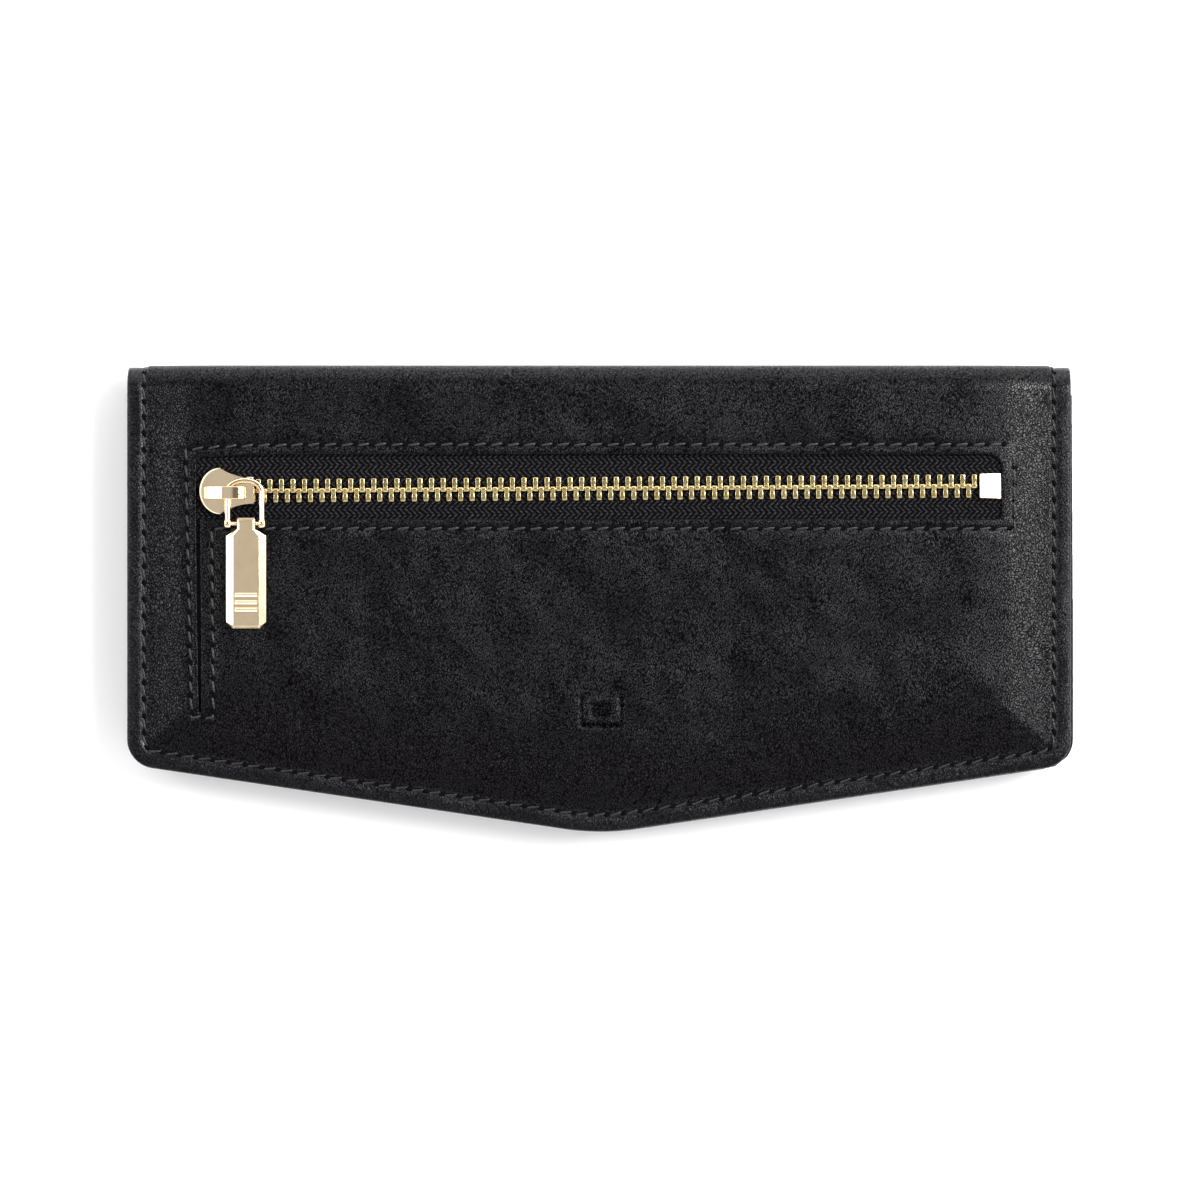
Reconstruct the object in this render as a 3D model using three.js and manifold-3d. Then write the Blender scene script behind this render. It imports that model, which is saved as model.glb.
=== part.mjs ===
// A flat fold-over wallet with an envelope flap, an external zip coin pocket on the flap, a note
// compartment and stepped card slots. Millimetres. +X runs along the wallet's width, +Y from the
// flap's point towards the fold, +Z out of the flap's face. The wallet lies closed on its back and
// the origin is the centre of the face that it lies on.
import * as THREE from "three";
import { mergeVertices } from "three/addons/utils/BufferGeometryUtils.js";
import Module from "manifold-3d";

const wasm = await Module();
wasm.setup();

// ---- Driving dimensions ----

const HALF_WIDTH = 97; // of the leather shell
const FOLD_Y = 48; // outer face of the spine
const TIP_Y = -47.9; // point of the flap
const EDGE_SLOPE = 0.1477; // rise of the lower edge from the point towards the sides
const TIP_RADIUS = 49;
const CORNER_RADIUS = 6;
const FOLD_RADIUS = 5; // outer radius where the shell turns into the spine
const FOLD_START = 10; // degrees into each fold where the flat face ends and the spine's solid starts
const INNER_TOP_Y = 42;
const INNER_MARGIN = -0.1; // the inner body is this much smaller than the shell on each side
const SHELL_SHIFT_X = -0.3; // the shell was sewn slightly off the inner body's centre
const INNER_SHIFT_X = 0.2;

const LEATHER = 1.2;
const LINING = 0.4;
const SHEET = 0.5; // a card tier or divider
const RIM_WIDTH = 3.8; // flat stitched edge of the flap
const SIDE_RAMP_END = 12.5; // distance from a side where the flap reaches its full height
const LOW_RAMP_END = 22; // the same from the lower edge
const GUSSET_DEPTH = 7.4;
const GUSSET_CORNER_DEPTH = 4;
const GUSSET_WALL = 0.55;

// Layers, from the back of the wallet up.
const BACK_BOARD_Z = LEATHER;
const BACK_LINING_Z = BACK_BOARD_Z + 0.4;
const NOTE_FLOOR_Z = BACK_LINING_Z + LINING;
const NOTE_GAP = 4.5;
const CARD_BACKING_Z = NOTE_FLOOR_Z + NOTE_GAP;
const TIER_PITCH = 0.7;
const TIER_TOPS_Y = [36, 27, 18, 9];
const TIER_Z = CARD_BACKING_Z + TIER_PITCH;
const FRONT_PANEL_Z = 10.1;
const FRONT_PANEL_THICKNESS = 0.9;
const FRONT_PANEL_TOP_Y = 0;
const FLAP_LINING_Z = 12.1;
const FLAP_LINING_TOP_Z = FLAP_LINING_Z + SHEET;
const POCKET_BACK_Z = 12.85;
const POCKET_FRONT_Z = 14.7;
const POCKET_SHEET = 0.2;
const TAPE_Z = 15;
const TAPE_THICKNESS = 0.45;
const FLAP_COVER_Z = 15.7;
const SHELL_TOP_Z = FLAP_COVER_Z + LEATHER;

// Zip window, its narrow side slit and the zip itself.
const WINDOW_LEFT_X = -82.8;
const WINDOW_RIGHT_X = 82.6;
const WINDOW_LOW_Y = 16.2;
const WINDOW_HIGH_Y = 29.3;
const SLIT_WIDTH = 0.8;
const SLIT_END_Y = -23.3;
const CHAIN_Y = 22.05; // at the slider
const CHAIN_TILT = 0.39; // degrees that the zip was sewn in off the width's direction
const TOOTH_PITCH = 2.37;
const TOOTH_WIDTH = 1.05;
const TOOTH_TIP = 0.35; // how far a tooth reaches past the chain's middle
const TOOTH_BACK = 2.4;
const TOOTH_NECK = 1.3; // where the teeth join the bead along the tape's edge
const TOOTH_HALF_THICKNESS = 1.05;
const CHAIN_Z = TAPE_Z + TAPE_THICKNESS / 2;
const CHAIN_START_X = -77;
const STOP_LEFT_X = 78.1;
const STOP_LENGTH = 4.4;
const STOP_HALF_WIDTH = 2.65;
const TAPE_INNER = 2.8;
const TAPE_OUTER = 11;
const TAPE_HALF_LENGTH = 85;

// Slider and pull, placed along the chain's middle line.
const SLIDER_X = -77.6; // middle of its wide round end
const SLIDER_NOSE_X = -70.7;
const SLIDER_ROUND_X = 4.4;
const SLIDER_ROUND_Y = 4.8;
const SLIDER_NOSE_HALF = 2.8;
const SLIDER_PLATE = 0.8;
const SLIDER_CHANNEL_HALF = 3; // clear width for the teeth, each side of the middle
const SLIDER_LOW_Z = 13.2;
const SLIDER_HIGH_Z = 16.45;
const FLANGE_GAP = 0.15;
const BRIDGE_LEFT_X = -81.1;
const BRIDGE_RIGHT_X = -73.1;
const BRIDGE_WIDTH = 2.2;
const BRIDGE_POST = 0.95;
const TUNNEL_HEIGHT = 1.7;
const WIRE_RADIUS = 0.6;
const LINK_X = -72.6;
const LINK_HALF_WIDTH = 3.5;
const LINK_ARCH = 2.4;
const LINK_DROP = 6.5; // from the arch's middle to the pin
const PIN_RADIUS = 0.4;
const EYE_RADIUS = 0.95;
const TAB_THICKNESS = 1.4;
const TAB_X = LINK_X + 0.28; // the tab hangs a little to the right on its pin
const TAB_HALF_WIDTH = 4.1;
const TAB_BEVEL = 1.45;
const TAB_NECK_HALF = 1.9;

// Magnetic snap under the flap's point.
const SNAP_Y = -34;
const SNAP_X = INNER_SHIFT_X - SHELL_SHIFT_X; // the snap's centre, measured on the shell
const SNAP_RADIUS = 6;
const COLLAR_RADIUS = 2.65;
const MAGNET_RADIUS = 5.4;
const STUD_RADIUS = 2.2;

// ---- Solid helpers ----

// A closed geometry as a manifold-3d solid.
function solidOf(geometry) {
  const bare = geometry.clone();
  for (const name of ["normal", "uv"]) {
    bare.deleteAttribute(name);
  }
  const merged = mergeVertices(bare, 1e-4);
  return new wasm.Manifold(
    new wasm.Mesh({
      numProp: 3,
      vertProperties: merged.attributes.position.array,
      triVerts: new Uint32Array(merged.index.array),
    }),
  );
}

// A manifold-3d solid as a flat-shaded geometry.
function geometryOf(solid) {
  const mesh = solid.getMesh();
  const geometry = new THREE.BufferGeometry();
  geometry.setAttribute("position", new THREE.BufferAttribute(mesh.vertProperties, 3));
  geometry.setIndex(new THREE.BufferAttribute(mesh.triVerts, 1));
  const flat = geometry.toNonIndexed();
  flat.computeVertexNormals();
  return flat;
}

function join(...geometries) {
  const [first, ...rest] = geometries.map(solidOf);
  return geometryOf(rest.reduce((whole, next) => whole.add(next), first));
}

function cut(geometry, ...tools) {
  return geometryOf(tools.map(solidOf).reduce((whole, tool) => whole.subtract(tool), solidOf(geometry)));
}

// An outline extruded from height low to height high.
function plate(shape, low, high, curveSegments = 6) {
  const settings = { depth: high - low, bevelEnabled: false, curveSegments };
  return new THREE.ExtrudeGeometry(shape, settings).translate(0, 0, low);
}

function block(x0, x1, y0, y1, z0, z1) {
  const box = new THREE.BoxGeometry(x1 - x0, y1 - y0, z1 - z0);
  return box.translate((x0 + x1) / 2, (y0 + y1) / 2, (z0 + z1) / 2);
}

// A closed outline through corners [x, y, radius], listed anticlockwise and all convex.
function roundedShape(corners) {
  const shape = new THREE.Shape();
  const count = corners.length;
  corners.forEach(([x, y, radius], i) => {
    const here = new THREE.Vector2(x, y);
    const before = new THREE.Vector2(...corners[(i + count - 1) % count]).sub(here).normalize();
    const after = new THREE.Vector2(...corners[(i + 1) % count]).sub(here).normalize();
    const half = Math.acos(before.dot(after)) / 2;
    const reach = radius / Math.tan(half);
    const start = here.clone().addScaledVector(before, reach);
    const end = here.clone().addScaledVector(after, reach);
    if (i === 0) {
      shape.moveTo(start.x, start.y);
    } else {
      shape.lineTo(start.x, start.y);
    }
    if (radius > 0) {
      const towards = before.clone().add(after).normalize();
      const middle = here.clone().addScaledVector(towards, radius / Math.sin(half));
      const angle = (p) => Math.atan2(p.y - middle.y, p.x - middle.x);
      shape.absarc(middle.x, middle.y, radius, angle(start), angle(end), false);
    }
  });
  shape.closePath();
  return shape;
}

function rectangle(x0, x1, y0, y1, bottomRadius = 0, topRadius = 0) {
  return roundedShape([
    [x0, y0, bottomRadius],
    [x1, y0, bottomRadius],
    [x1, y1, topRadius],
    [x0, y1, topRadius],
  ]);
}

// A solid between two height fields over a region that runs in Y from lowY(x) to highY.
function heightSlab(stationsX, sharesY, lowY, highY, topZ, bottomZ) {
  const rows = sharesY.length;
  const points = [];
  for (const surface of [bottomZ, topZ]) {
    for (const x of stationsX) {
      for (const share of sharesY) {
        const y = lowY(x) + share * (highY - lowY(x));
        points.push(x, y, surface(x, y));
      }
    }
  }
  const at = (layer, i, j) => (layer * stationsX.length + i) * rows + j;
  const index = [];
  const quad = (a, b, c, d) => index.push(a, b, c, a, c, d);
  const lastX = stationsX.length - 1;
  const lastY = rows - 1;
  for (let i = 0; i < lastX; i++) {
    for (let j = 0; j < lastY; j++) {
      quad(at(1, i, j), at(1, i + 1, j), at(1, i + 1, j + 1), at(1, i, j + 1));
      quad(at(0, i, j), at(0, i, j + 1), at(0, i + 1, j + 1), at(0, i + 1, j));
    }
    quad(at(0, i, 0), at(0, i + 1, 0), at(1, i + 1, 0), at(1, i, 0));
    quad(at(0, i, lastY), at(1, i, lastY), at(1, i + 1, lastY), at(0, i + 1, lastY));
  }
  for (let j = 0; j < lastY; j++) {
    quad(at(0, 0, j), at(1, 0, j), at(1, 0, j + 1), at(0, 0, j + 1));
    quad(at(0, lastX, j), at(0, lastX, j + 1), at(1, lastX, j + 1), at(1, lastX, j));
  }
  const geometry = new THREE.BufferGeometry();
  geometry.setAttribute("position", new THREE.Float32BufferAttribute(points, 3));
  geometry.setIndex(index);
  return geometry;
}

// A solid lofted through rings of points, all with the same number; section is the first ring
// drawn flat, which the end caps are filled from.
function lofted(rings, section) {
  const count = section.length;
  const index = [];
  for (let k = 0; k < rings.length - 1; k++) {
    for (let i = 0; i < count; i++) {
      const next = (i + 1) % count;
      const [a, b, c, d] = [k * count + i, k * count + next, (k + 1) * count + next, (k + 1) * count + i];
      index.push(a, b, c, a, c, d);
    }
  }
  const last = (rings.length - 1) * count;
  for (const [a, b, c] of THREE.ShapeUtils.triangulateShape(section, [])) {
    index.push(a, c, b, last + a, last + b, last + c);
  }
  const geometry = new THREE.BufferGeometry();
  geometry.setAttribute("position", new THREE.Float32BufferAttribute(rings.flat(2), 3));
  geometry.setIndex(index);
  return geometry;
}

// ---- Materials ----

const finish = (color, roughness, metalness) =>
  new THREE.MeshStandardMaterial({ color, roughness, metalness });
const blackLeather = finish(0x1b1a1e, 0.55, 0);
const blackLining = finish(0x17161a, 0.85, 0);
const boardGrey = finish(0x77736c, 0.9, 0);
const tapeBlack = finish(0x121214, 0.9, 0);
const toothGold = finish(0xcdb671, 0.35, 1);
const paleGold = finish(0xe3c897, 0.15, 1);
const snapSteel = finish(0xc8b68c, 0.3, 1);

const wallet = new THREE.Group();
const shell = new THREE.Group();
const inner = new THREE.Group();
shell.position.x = SHELL_SHIFT_X;
inner.position.x = INNER_SHIFT_X;
wallet.add(shell, inner);

// Zip pieces are placed straight in this group, which turns about the slider.
const zip = new THREE.Group();
zip.position.set(SLIDER_X, CHAIN_Y, 0);
zip.rotation.z = THREE.MathUtils.degToRad(CHAIN_TILT);
shell.add(zip);

function place(group, name, geometry, material) {
  const mesh = new THREE.Mesh(geometry, material);
  mesh.name = name;
  group.add(mesh);
}

function placeOnZip(name, geometry, material) {
  place(zip, name, geometry.translate(-SLIDER_X, -CHAIN_Y, 0), material);
}

// ---- Leather shell: back, spine and flap ----

// Where the shell's flat faces end and its folds begin.
const FLAT_END_Y = FOLD_Y - FOLD_RADIUS;

// The wallet's outline, moved inwards by an inset: a straight top at topY, straight sides and a
// shallow V at the bottom with a rounded point and rounded corners.
const SLOPE_ANGLE = Math.atan(EDGE_SLOPE);
const TIP_CENTRE_Y = TIP_Y + TIP_RADIUS;
const CORNER_CENTRE_X = HALF_WIDTH - CORNER_RADIUS;

function sharpTipY(inset) {
  return TIP_CENTRE_Y - (TIP_RADIUS - inset) / Math.cos(SLOPE_ANGLE);
}

const CORNER_CENTRE_Y = sharpTipY(0) + CORNER_CENTRE_X * EDGE_SLOPE + CORNER_RADIUS / Math.cos(SLOPE_ANGLE);

function walletOutline(inset, topY, topRadius = 1) {
  const edge = HALF_WIDTH - inset;
  const sideEndY = sharpTipY(inset) + edge * EDGE_SLOPE;
  return roundedShape([
    [0, sharpTipY(inset), TIP_RADIUS - inset],
    [edge, sideEndY, CORNER_RADIUS - inset],
    [edge, topY, topRadius],
    [-edge, topY, topRadius],
    [-edge, sideEndY, CORNER_RADIUS - inset],
  ]);
}

// The height of the outline's lower edge at a distance across from its middle.
function lowEdgeY(x) {
  const across = Math.abs(x);
  if (across < TIP_RADIUS * Math.sin(SLOPE_ANGLE)) {
    return TIP_CENTRE_Y - Math.sqrt(TIP_RADIUS ** 2 - across ** 2);
  }
  if (across < CORNER_CENTRE_X + CORNER_RADIUS * Math.sin(SLOPE_ANGLE)) {
    return sharpTipY(0) + across * EDGE_SLOPE;
  }
  return CORNER_CENTRE_Y - Math.sqrt(Math.max(0, CORNER_RADIUS ** 2 - (across - CORNER_CENTRE_X) ** 2));
}

function backLayer(inset, low, high) {
  return plate(walletOutline(inset, FLAT_END_Y - inset), low, high);
}

// The spine's C section: both fold arcs and the wall between them, inset from the outer face.
function spineStrip(inset, thickness, halfWidth) {
  const firstAngle = THREE.MathUtils.degToRad(FOLD_START);
  const arcSteps = 5;
  const arc = (radius) => {
    const side = [];
    for (let i = 0; i <= arcSteps; i++) {
      const angle = firstAngle + ((Math.PI / 2 - firstAngle) * i) / arcSteps;
      side.push([FLAT_END_Y + radius * Math.sin(angle), FOLD_RADIUS - radius * Math.cos(angle)]);
    }
    const mirrored = side.map(([y, z]) => [y, SHELL_TOP_Z - z]).reverse();
    return [...side, ...mirrored];
  };
  const outer = arc(FOLD_RADIUS - inset);
  const innerSide = arc(FOLD_RADIUS - inset - thickness).reverse();
  const section = [...outer, ...innerSide];
  const rings = [-halfWidth, halfWidth].map((x) => section.map(([y, z]) => [x, y, z]));
  return lofted(rings, section.map(([y, z]) => new THREE.Vector2(y, z)));
}

// The share of the flap's full height that its padded middle has reached at a point.
function pillow(x, y) {
  const fromSide = THREE.MathUtils.smoothstep(HALF_WIDTH - Math.abs(x), RIM_WIDTH, SIDE_RAMP_END);
  const fromLow = THREE.MathUtils.smoothstep(y - lowEdgeY(x), RIM_WIDTH, LOW_RAMP_END);
  return fromSide * fromLow;
}

function flapCover() {
  const sides = [97, 96.6, 95.6, 94.2, 92.4, 90.8, 88.8, 86.8, 84.6, 60, 30, 7.2];
  const stations = [...sides.map((x) => -x), 0, ...sides.toReversed()];
  const shares = [0, 0.04, 0.08, 0.12, 0.16, 0.2, 0.25, 1];
  const rimZ = FLAP_LINING_TOP_Z + 0.05;
  const underside = (x, y) => rimZ + (FLAP_COVER_Z - rimZ) * pillow(x, y);
  const topside = (x, y) => underside(x, y) + LEATHER;
  const blank = heightSlab(stations, shares, lowEdgeY, FLAT_END_Y, topside, underside);
  const opening = rectangle(WINDOW_LEFT_X, WINDOW_RIGHT_X, WINDOW_LOW_Y, WINDOW_HIGH_Y, 1, 1.3);
  const slit = new THREE.Shape();
  slit.moveTo(WINDOW_LEFT_X, WINDOW_LOW_Y + 2);
  slit.lineTo(WINDOW_LEFT_X + SLIT_WIDTH / 2, SLIT_END_Y);
  slit.lineTo(WINDOW_LEFT_X + SLIT_WIDTH, WINDOW_LOW_Y + 2);
  slit.closePath();
  return cut(blank, plate(opening, 10, 20), plate(slit, 10, 20));
}

function flapLining() {
  const sides = [96.8, 96.4, 95.6, 94.2, 92.4, 90.8, 60, 30, 7.2];
  const stations = [...sides.map((x) => -x), 0, ...sides.toReversed()];
  const edge = (x) => lowEdgeY(x) + 0.2;
  const top = () => FLAP_LINING_TOP_Z;
  const bottom = () => FLAP_LINING_Z;
  const blank = heightSlab(stations, [0, 1], edge, INNER_TOP_Y - 1, top, bottom);
  const hole = new THREE.Shape();
  hole.absarc(SNAP_X, SNAP_Y, 1.2, 0, 2 * Math.PI, false);
  return cut(blank, plate(hole, FLAP_LINING_Z - 1, FLAP_LINING_TOP_Z + 1));
}

place(shell, "back_cover", backLayer(0, 0, LEATHER), blackLeather);
place(shell, "back_board", backLayer(5, BACK_BOARD_Z, BACK_LINING_Z), boardGrey);
place(shell, "back_lining", backLayer(0.3, BACK_LINING_Z, NOTE_FLOOR_Z), blackLining);
place(shell, "spine_cover", spineStrip(0, LEATHER, HALF_WIDTH), blackLeather);
place(shell, "spine_lining", spineStrip(LEATHER + 0.02, LINING, HALF_WIDTH - 0.3), blackLining);
place(shell, "flap_cover", flapCover(), blackLeather);
place(shell, "flap_lining", flapLining(), blackLining);

// ---- Inner body: note compartment and card slots ----

function innerSheet(topY, low, high, topRadius = 1) {
  return plate(walletOutline(INNER_MARGIN, topY, topRadius), low, high);
}

// Places around the inner body's open outline, from the top of its left side to the top of its
// right side, each with the direction to its inside and the gusset's depth there.
function gussetStations() {
  const inset = INNER_MARGIN + 0.2;
  const arc = (centreX, centreY, radius, from, to, steps, depth) => {
    const stations = [];
    for (let i = 0; i <= steps; i++) {
      const angle = THREE.MathUtils.lerp(from, to, i / steps);
      const [cos, sin] = [Math.cos(angle), Math.sin(angle)];
      stations.push({ x: centreX + radius * cos, y: centreY + radius * sin, inX: -cos, inY: -sin, depth });
    }
    return stations;
  };
  const flankAngle = Math.PI * 1.5 - SLOPE_ANGLE;
  const cornerRadius = CORNER_RADIUS - inset;
  const corner = arc(-CORNER_CENTRE_X, CORNER_CENTRE_Y, cornerRadius, Math.PI, flankAngle, 5, GUSSET_CORNER_DEPTH);
  const tip = arc(0, TIP_CENTRE_Y, TIP_RADIUS - inset, flankAngle, Math.PI * 1.5, 3, GUSSET_DEPTH);
  const edge = HALF_WIDTH - inset;
  const side = { x: -edge, inX: 1, inY: 0, depth: GUSSET_DEPTH };
  const sideTop = { ...side, y: INNER_TOP_Y - 1 };
  const sideEnd = { ...side, y: CORNER_CENTRE_Y + 9 };
  const cornerEnd = corner.at(-1);
  const reach = 9;
  const flank = {
    ...tip[0],
    x: cornerEnd.x + reach * Math.cos(SLOPE_ANGLE),
    y: cornerEnd.y - reach * Math.sin(SLOPE_ANGLE),
  };
  const left = [sideTop, sideEnd, ...corner, flank, ...tip];
  const right = left.slice(0, -1).map((place) => ({ ...place, x: -place.x, inX: -place.inX }));
  return [...left, ...right.toReversed()];
}

// The gusset that closes the note compartment's sides and bottom: a strip folded inwards in a V.
function gusset() {
  const low = NOTE_FLOOR_Z + 0.05;
  const high = CARD_BACKING_Z - 0.05;
  const middle = (low + high) / 2;
  const sectionAt = (depth) => [
    [0, low],
    [depth, middle],
    [0, high],
    [0, high - GUSSET_WALL],
    [depth - 1.7, middle],
    [0, low + GUSSET_WALL],
  ];
  const rings = gussetStations().map(({ x, y, inX, inY, depth }) =>
    sectionAt(depth).map(([run, z]) => [x + run * inX, y + run * inY, z]),
  );
  const section = sectionAt(GUSSET_DEPTH).map(([run, z]) => new THREE.Vector2(run, z));
  return lofted(rings, section);
}

// The front panel has a hole for the snap's magnet.
function frontPanel() {
  const top = FRONT_PANEL_Z + FRONT_PANEL_THICKNESS;
  const panel = innerSheet(FRONT_PANEL_TOP_Y, FRONT_PANEL_Z, top);
  const hole = new THREE.Shape();
  hole.absarc(0, SNAP_Y, MAGNET_RADIUS + 0.2, 0, 2 * Math.PI, false);
  return cut(panel, plate(hole, FRONT_PANEL_Z - 1, top + 1, 12));
}

place(inner, "gusset", gusset(), blackLining);
place(inner, "card_backing", innerSheet(INNER_TOP_Y, CARD_BACKING_Z, CARD_BACKING_Z + SHEET, 2), blackLeather);
TIER_TOPS_Y.forEach((topY, i) => {
  const low = TIER_Z + i * TIER_PITCH;
  place(inner, `card_tier_${i + 1}`, innerSheet(topY, low, low + SHEET), blackLeather);
});
place(inner, "card_front_panel", frontPanel(), blackLeather);

// ---- Magnetic snap ----

// A turned part: its profile runs as [radius, height] and closes on itself or on the axis.
function turned(profile, height) {
  const points = profile.map(([radius, z]) => new THREE.Vector2(radius, z));
  return new THREE.LatheGeometry(points, 20).rotateX(Math.PI / 2).translate(0, SNAP_Y, height);
}

function ring(innerRadius, outerRadius, thickness, height) {
  const profile = [
    [innerRadius, 0],
    [outerRadius, 0],
    [outerRadius, thickness],
    [innerRadius, thickness],
    [innerRadius, 0],
  ];
  return turned(profile, height);
}

const FRONT_PANEL_TOP_Z = FRONT_PANEL_Z + FRONT_PANEL_THICKNESS;
const STUD_FLANGE_Z = FLAP_LINING_Z - 0.38;
const STUD_DEPTH = 1.5;

function socket() {
  const profile = [
    [STUD_RADIUS + 0.2, -0.8],
    [COLLAR_RADIUS, -0.8],
    [COLLAR_RADIUS, 0.02],
    [SNAP_RADIUS, 0.02],
    [SNAP_RADIUS, 0.35],
    [SNAP_RADIUS - 0.8, 0.5],
    [STUD_RADIUS + 0.2, 0.5],
    [STUD_RADIUS + 0.2, -0.8],
  ];
  return turned(profile, FRONT_PANEL_TOP_Z);
}

function stud() {
  const profile = [
    [0, -STUD_DEPTH],
    [STUD_RADIUS - 0.4, -STUD_DEPTH],
    [STUD_RADIUS, -STUD_DEPTH + 0.4],
    [STUD_RADIUS, -0.05],
    [SNAP_RADIUS - 0.6, -0.05],
    [SNAP_RADIUS, 0.1],
    [SNAP_RADIUS, 0.36],
    [1, 0.36],
    [1, 0.36 + SHEET],
    [0, 0.36 + SHEET],
  ];
  return turned(profile, STUD_FLANGE_Z);
}

place(inner, "snap_socket", socket(), snapSteel);
place(inner, "snap_magnet", ring(COLLAR_RADIUS + 0.1, MAGNET_RADIUS, 0.84, FRONT_PANEL_Z + 0.04), snapSteel);
place(inner, "snap_socket_washer", ring(COLLAR_RADIUS + 0.05, 4.6, 0.2, FRONT_PANEL_Z - 0.22), snapSteel);
place(inner, "snap_stud", stud(), snapSteel);
place(inner, "snap_stud_washer", ring(1.3, 4.4, 0.18, FLAP_LINING_TOP_Z + 0.02), snapSteel);

// ---- Coin pocket behind the zip ----

const POCKET_HALF_WIDTH = 84;
const POCKET_LOW_Y = -20;
const POCKET_HIGH_Y = 34;

function pocketSheet(low) {
  const outline = rectangle(-POCKET_HALF_WIDTH, POCKET_HALF_WIDTH, POCKET_LOW_Y, POCKET_HIGH_Y, 3, 1);
  return plate(outline, low, low + POCKET_SHEET, 3);
}

function pocketFront() {
  const gap = 6.6;
  const mouth = rectangle(-83.1, 83.1, CHAIN_Y - gap, CHAIN_Y + gap, 1, 1);
  return cut(pocketSheet(POCKET_FRONT_Z), plate(mouth, POCKET_FRONT_Z - 1, POCKET_FRONT_Z + 1, 2));
}

place(shell, "coin_pocket_back", pocketSheet(POCKET_BACK_Z), blackLining);
place(shell, "coin_pocket_front", pocketFront(), blackLining);

// ---- Zip ----

// One side of the chain, as a comb: side is 1 for the upper row, -1 for the lower one.
function teethRow(side) {
  const firstX = CHAIN_START_X + (side > 0 ? 0 : TOOTH_PITCH / 2);
  const endX = STOP_LEFT_X - 0.5;
  const shape = new THREE.Shape();
  shape.moveTo(firstX - TOOTH_WIDTH / 2, CHAIN_Y + side * TOOTH_BACK);
  let x = firstX;
  for (; x + TOOTH_WIDTH / 2 < endX; x += TOOTH_PITCH) {
    const left = x - TOOTH_WIDTH / 2;
    const right = x + TOOTH_WIDTH / 2;
    if (x > firstX) {
      shape.lineTo(left, CHAIN_Y + side * TOOTH_NECK);
    }
    shape.lineTo(left, CHAIN_Y - side * TOOTH_TIP);
    shape.lineTo(right, CHAIN_Y - side * TOOTH_TIP);
    shape.lineTo(right, CHAIN_Y + side * TOOTH_NECK);
  }
  shape.lineTo(x - TOOTH_PITCH + TOOTH_WIDTH / 2, CHAIN_Y + side * TOOTH_BACK);
  shape.closePath();
  return plate(shape, CHAIN_Z - TOOTH_HALF_THICKNESS, CHAIN_Z + TOOTH_HALF_THICKNESS);
}

function tape(side) {
  const near = CHAIN_Y + side * TAPE_INNER;
  const far = CHAIN_Y + side * TAPE_OUTER;
  const high = TAPE_Z + TAPE_THICKNESS;
  return block(-TAPE_HALF_LENGTH, TAPE_HALF_LENGTH, Math.min(near, far), Math.max(near, far), TAPE_Z, high);
}

function topStop(side) {
  const near = CHAIN_Y + side * 0.9;
  const far = CHAIN_Y + side * 2.6;
  const low = POCKET_FRONT_Z + POCKET_SHEET + 0.05;
  return block(-85, -83.2, Math.min(near, far), Math.max(near, far), low, CHAIN_Z + 0.35);
}

function bottomStop() {
  const outline = rectangle(
    STOP_LEFT_X,
    STOP_LEFT_X + STOP_LENGTH,
    CHAIN_Y - STOP_HALF_WIDTH,
    CHAIN_Y + STOP_HALF_WIDTH,
    0.3,
    0.3,
  );
  return plate(outline, CHAIN_Z - 1.1, CHAIN_Z + 1.3, 2);
}

for (const [side, word] of [
  [1, "upper"],
  [-1, "lower"],
]) {
  placeOnZip(`zip_tape_${word}`, tape(side), tapeBlack);
  placeOnZip(`zip_teeth_${word}`, teethRow(side), toothGold);
  placeOnZip(`zip_top_stop_${word}`, topStop(side), toothGold);
}
placeOnZip("zip_bottom_stop", bottomStop(), toothGold);

// ---- Slider ----

function sliderShape() {
  const shape = new THREE.Shape();
  const bendX = SLIDER_X + 3.2;
  shape.moveTo(SLIDER_NOSE_X, CHAIN_Y - SLIDER_NOSE_HALF);
  shape.lineTo(SLIDER_NOSE_X, CHAIN_Y + SLIDER_NOSE_HALF);
  shape.quadraticCurveTo(bendX, CHAIN_Y + SLIDER_NOSE_HALF, SLIDER_X, CHAIN_Y + SLIDER_ROUND_Y);
  shape.absellipse(
    SLIDER_X,
    CHAIN_Y,
    SLIDER_ROUND_X,
    SLIDER_ROUND_Y,
    Math.PI / 2,
    (3 * Math.PI) / 2,
    false,
    0,
  );
  shape.quadraticCurveTo(bendX, CHAIN_Y - SLIDER_NOSE_HALF, SLIDER_NOSE_X, CHAIN_Y - SLIDER_NOSE_HALF);
  return shape;
}

// Top and bottom plates with side flanges that hold the tapes, joined by the wedge between the rows.
function sliderBody() {
  const tapeTop = TAPE_Z + TAPE_THICKNESS;
  const top = plate(sliderShape(), tapeTop + FLANGE_GAP, SLIDER_HIGH_Z + SLIDER_PLATE, 8);
  const bottom = plate(sliderShape(), SLIDER_LOW_Z, TAPE_Z - FLANGE_GAP - 0.1, 8);
  const channel = block(
    SLIDER_X - 6,
    SLIDER_NOSE_X + 1,
    CHAIN_Y - SLIDER_CHANNEL_HALF + 0.35,
    CHAIN_Y + SLIDER_CHANNEL_HALF - 0.35,
    SLIDER_LOW_Z + SLIDER_PLATE,
    SLIDER_HIGH_Z,
  );
  const wedge = new THREE.Shape();
  wedge.moveTo(SLIDER_X - 3.9, CHAIN_Y);
  wedge.lineTo(SLIDER_X - 2.6, CHAIN_Y - 1.2);
  wedge.lineTo(SLIDER_X - 0.1, CHAIN_Y);
  wedge.lineTo(SLIDER_X - 2.6, CHAIN_Y + 1.2);
  wedge.closePath();
  const post = plate(wedge, SLIDER_LOW_Z + 0.2, SLIDER_HIGH_Z + 0.2);
  return join(cut(top, channel), cut(bottom, channel), post);
}

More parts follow.
